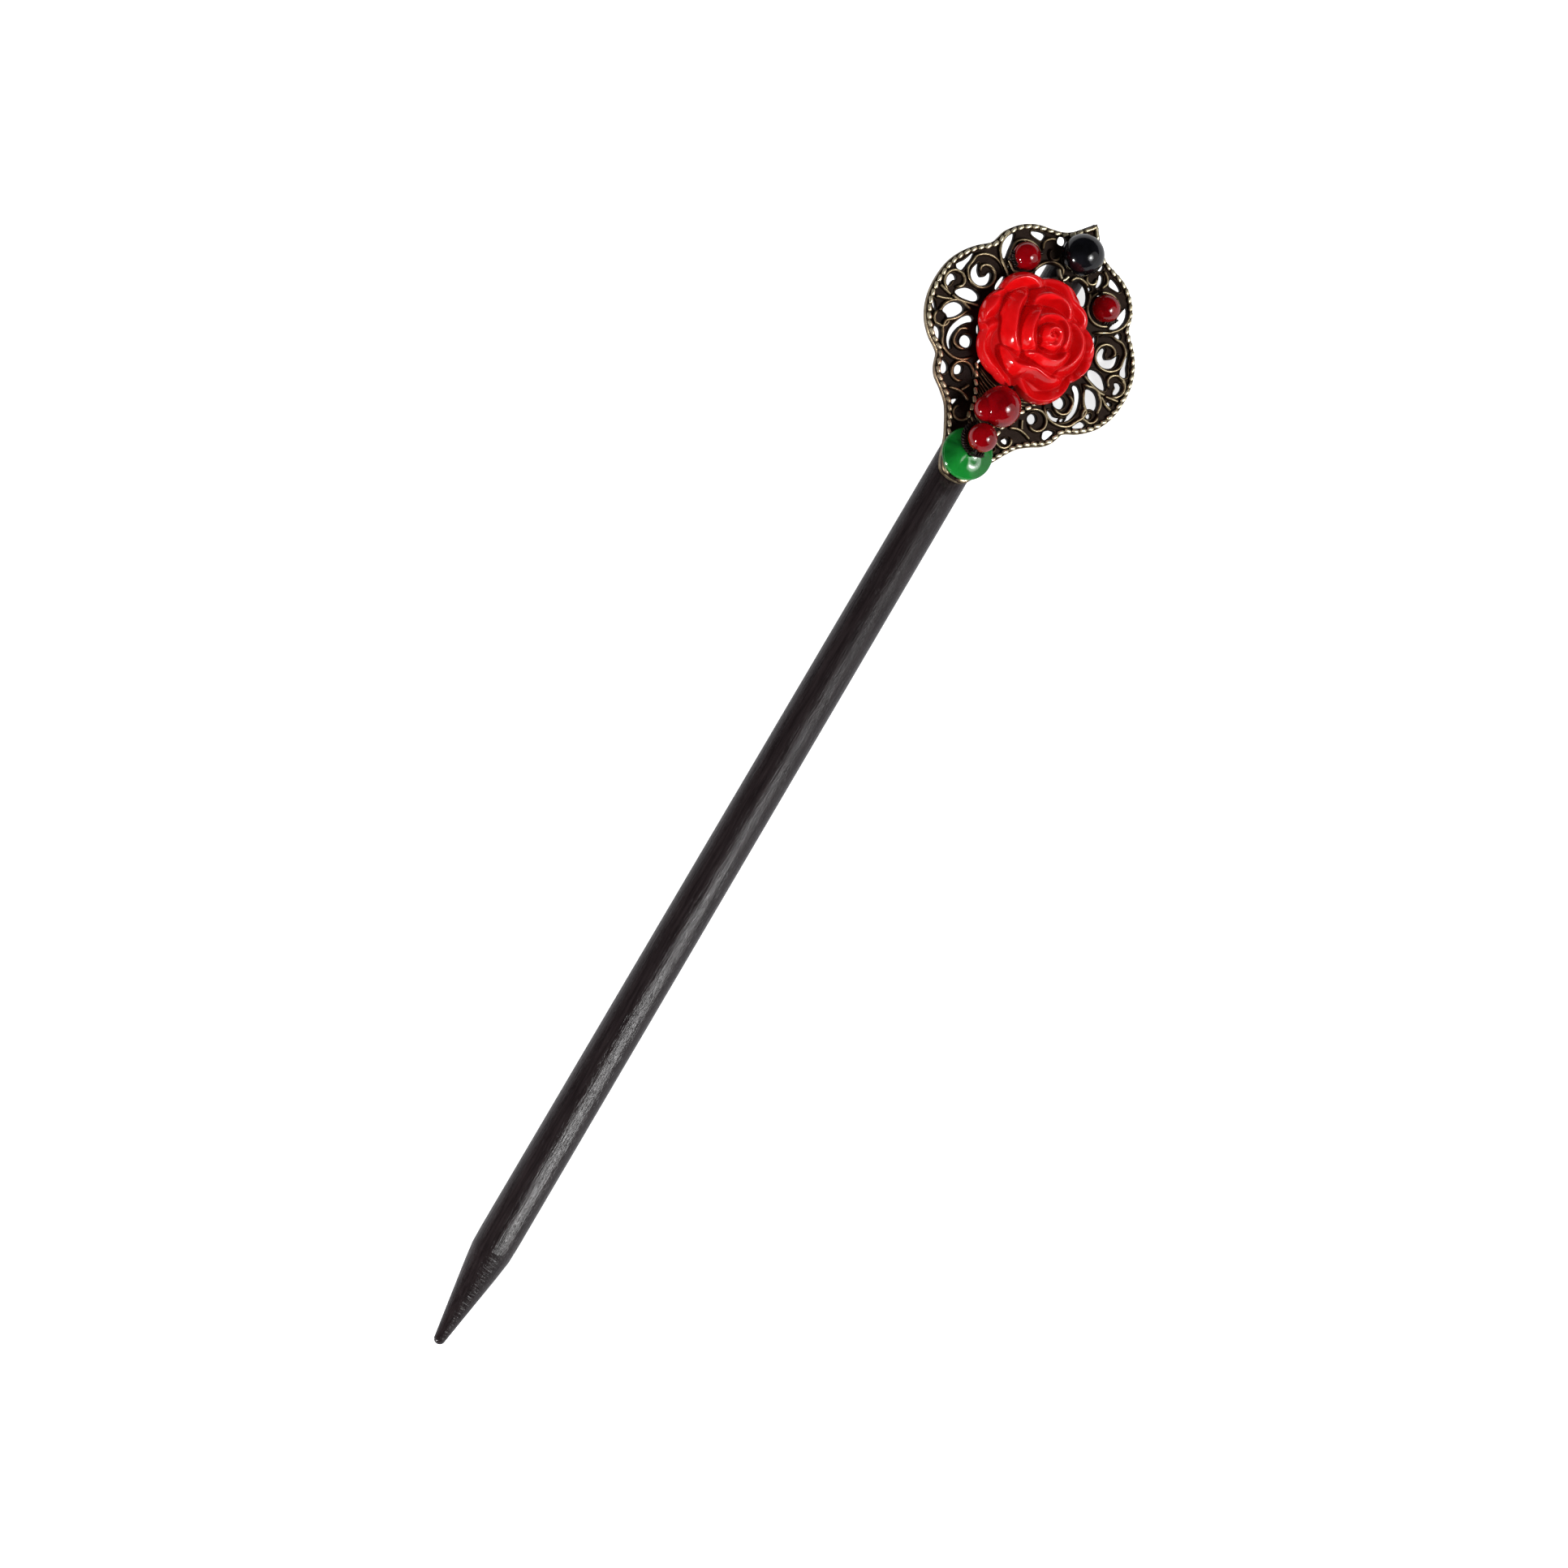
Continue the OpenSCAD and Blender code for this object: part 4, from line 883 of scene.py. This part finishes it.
# both sides of the head: name, place across and the direction of the wire
SIDES = ("right", side_x, wire_turn), ("left", -side_x, math.pi - wire_turn)
points, faces = drilled(bead_profile(side_d / 2), 64)
for name, x, heading in SIDES:
    add_piece(f"{name}_agate_bead", in_head(placed(points, x, side_y, sunk_z(side_d), heading)),
              faces, agate, [f"{name}_red_bead"])
points, faces = drilled(bead_profile(small_d / 2), 64)
add_piece("small_agate_bead", in_head(placed(points, 0, small_y, thread_z, math.pi / 2)),
          faces, agate, ["small_red_bead"])
# the large bead's lobe: along each direction from the middle the surface is the farther of the
# ball and of a smaller ball set to the left and toward the tab, softly blended
large_r, blend = large_d / 2, 0.03
points, faces = drilled(bead_profile(large_r, 70), 120)
points = placed(points, 0, 0, 0, math.pi / 2)
reach = np.linalg.norm(points, axis=1)
way = points / reach[:, None]
lobe_at = np.array([-1.5, -1.2, 0])
along = way @ lobe_at
lobe_reach = along + np.sqrt(np.maximum(along ** 2 - lobe_at @ lobe_at + (lobe_d / 2) ** 2, 0))
both = 0.5 * (large_r + lobe_reach + np.sqrt((large_r - lobe_reach) ** 2 + blend ** 2) - blend)
on_ball = reach > large_r - 0.02
points = np.where(on_ball[:, None], way * np.maximum(both, large_r - 0.01)[:, None], points)
# painted shade in the groove between the ball and the lobe
crease_shade = 0.3 * np.exp(-((large_r - lobe_reach) / 0.12) ** 2) * on_ball
add_piece("large_agate_bead", in_head(points + [0, large_y, thread_z]),
          faces, agate, ["large_red_bead"], values={"crease_shade": crease_shade})
points, faces = drilled(bead_profile(black_d / 2), 80)
points = placed(points, 0, black_y, sunk_z(black_d), math.radians(25))
add_piece("onyx_bead", in_head(points), faces, onyx, ["black_bead"])

# ---- Green disc --------------------------------------------------------------------------------
# A flat-backed lens of jade-green glass, drilled through the middle and threaded on the centre
# wire; it lies on the rim of the tab.

# section: the bore, the flat back, a round rim and the face, a part of a ball
rim_r, eased_r = 0.3, hole_r + 0.1
cap_r = eased_r + (disc_d / 2 - 0.12 - eased_r) * np.linspace(0, 1, 30)
cap = np.stack([cap_r, disc_cap_z + np.sqrt(disc_cap_r ** 2 - cap_r ** 2)], -1)
a = np.linspace(math.radians(-90), math.radians(70), 10)
belly = disc_d / 2 - rim_r
rim_z = disc_z + rim_r
rim_part = np.stack([
    belly + rim_r * np.cos(a),
    rim_z + (cap[-1, 1] - rim_z) * np.clip(np.sin(a), 0, 1) + rim_r * np.minimum(np.sin(a), 0)], -1)
back = np.stack([np.linspace(eased_r, belly - rim_r, 8), np.full(8, disc_z)], -1)
bore = np.stack([np.full(4, hole_r), np.linspace(cap[0, 1] - 0.1, disc_z + 0.1, 4)], -1)
points, faces = drilled(np.vstack([bore, back, rim_part, cap[::-1]]), 96)
# the face is dented a little toward the point of the thread, and rolls unevenly: each dent's
# depth, place and half widths
over = np.clip((points[:, 2] - disc_z - 0.5) / 0.5, 0, 1)
for dent, x, y, wide, long in ((0.14, 0.95, -0.45, 0.75, 0.75), (0.08, -0.2, -1.6, 0.5, 1.3)):
    far = ((points[:, 0] - x) / wide) ** 2 + ((points[:, 1] - y) / long) ** 2
    points[:, 2] -= over * dent * np.exp(-far)
points = points + [0, disc_y, 0]

# jade-green glass: bright leaf green where light comes through, darker and cloudy in places, with
# a glassy gloss
jade, tree, place = textured("jade green glass")
cloud = noise(tree, place, 260, 4, Distortion=0.6)
tint = ramp(tree, cloud, (0.3, "#08501a"), (0.7, "#1c9236"))
shaded(tree, Base_Color=tint, Roughness=0.12, Normal=bumps(tree, cloud, 0.0002, 0.2),
       Transmission_Weight=0.25, IOR=1.5, Subsurface_Weight=0.3,
       Subsurface_Radius=(0.3, 1.0, 0.3), Subsurface_Scale=0.001)
add_piece("jade_disc", in_head(points), faces, jade, ["green_disc"])

# ---- Wires -------------------------------------------------------------------------------------
# Dark annealed wire through the drilled holes: one holds the disc and the two beads of the tab, and
# one holds each side bead. Their ends go down through holes in the plate.


def tube(path, radius, sides=12):
    """A round tube along a path: each ring lies across the path's direction. Its ends shrink nearly
    to a point, and a few faces close them."""
    d = np.gradient(path, axis=0)
    d /= np.linalg.norm(d, axis=1)[:, None]
    ref = np.cross(d, [0.9, -0.43, 0.05])
    ref /= np.linalg.norm(ref, axis=1)[:, None]
    side = np.cross(d, ref)
    a = turns(sides)[None, :, None]
    size = np.broadcast_to(radius, len(path)).copy()
    size[[0, -1]] = 1e-3
    ring = size[:, None, None] * (np.cos(a) * ref[:, None] + np.sin(a) * side[:, None])
    cap = np.array([[0, j, j + 1, j + 2] for j in range(1, sides - 2, 2)])
    return (path[:, None] + ring).reshape(-1, 3), np.vstack([
        grid_faces(len(path), sides), cap[:, ::-1], cap + (len(path) - 1) * sides])


dark_wire, tree, place = textured("dark annealed wire")
blotch = noise(tree, place, 1500, 4)
tint = ramp(tree, blotch, (0.35, "#15100f"), (0.8, "#3c302a"))
shaded(tree, Base_Color=tint, Metallic=0.8, Roughness=0.42,
       Normal=bumps(tree, blotch, 0.00005, 0.4))

# each wire's line in its own upright plane, as distance along and height
wire_foot, thin_r = back_z + 0.02, wire_r * 0.96
z = sunk_z(side_d)
s = smooth([[-side_reach, wire_foot], [-side_reach, z - 0.3], [-side_reach + 0.08, z - 0.08],
            [-side_reach + 0.3, z], [side_reach - 0.3, z], [side_reach - 0.08, z - 0.08],
            [side_reach, z - 0.3], [side_reach, wire_foot]], 6)
for name, x, heading in SIDES:
    path = np.stack([x + s[:, 0] * math.cos(heading), side_y + s[:, 0] * math.sin(heading),
                     s[:, 1]], -1)
    points, faces = tube(path, thin_r)
    add_piece(f"{name}_bead_wire", in_head(points), [faces], dark_wire, [f"{name}_wire"])
z = thread_z
s = smooth([[disc_y, wire_foot], [disc_y, z - 0.4], [disc_y + 0.1, z - 0.1], [disc_y + 0.4, z],
            [large_y, z], [centre_end - 0.4, z], [centre_end - 0.1, z - 0.1],
            [centre_end, z - 0.4], [centre_end, wire_foot]], 6)
points, faces = tube(np.stack([0 * s[:, 0], s[:, 0], s[:, 1]], -1), thin_r)
add_piece("centre_bead_wire", in_head(points), [faces], dark_wire, ["centre_wire"])

# the wire's spare length: a lumpy band wound round the foot of the small bead and of each side
# bead, set in black glue; its dark also stands for the beads' shade at their feet, a painted
# shade. Place of the bead, height and radius of the band, start and sweep in degrees
wraps, band_r, strand_r, t = [], 0.33, 0.13, np.linspace(0, 1, 120)
for x, y, z, r, start, sweep in ((0, small_y, 6.02, 2.15, 128, 190),
                                 (side_x, side_y, floor_z + 1.3, 1.9, 285, 62),
                                 (-side_x, side_y, floor_z + 1.3, 1.9, 192, 62)):
    a = np.radians(start + sweep * t)
    lumps = band_r + 0.05 * np.sin(31 * a) + rng.normal(0, 0.012, len(t))
    lumps *= np.clip(np.minimum(t, 1 - t) / 0.08, 0.1, 1) ** 0.5
    path = np.stack([x + r * np.cos(a), y + r * np.sin(a), z + 0.1 * np.sin(7 * a)], -1)
    wraps.append(tube(path, lumps))
    # three turns of thin wire round the band
    for phase in (0, 2.1, 4.2):
        roll_a = 0.21 * sweep * t + phase
        off = r + band_r * np.cos(roll_a)
        path = np.stack([x + off * np.cos(a), y + off * np.sin(a),
                         z + band_r * np.sin(roll_a)], -1)
        wraps.append(tube(path, strand_r, 8))
points, faces = joined(wraps)
add_piece("wire_wraps_and_foot_shade", in_head(points), [faces], dark_wire, None)
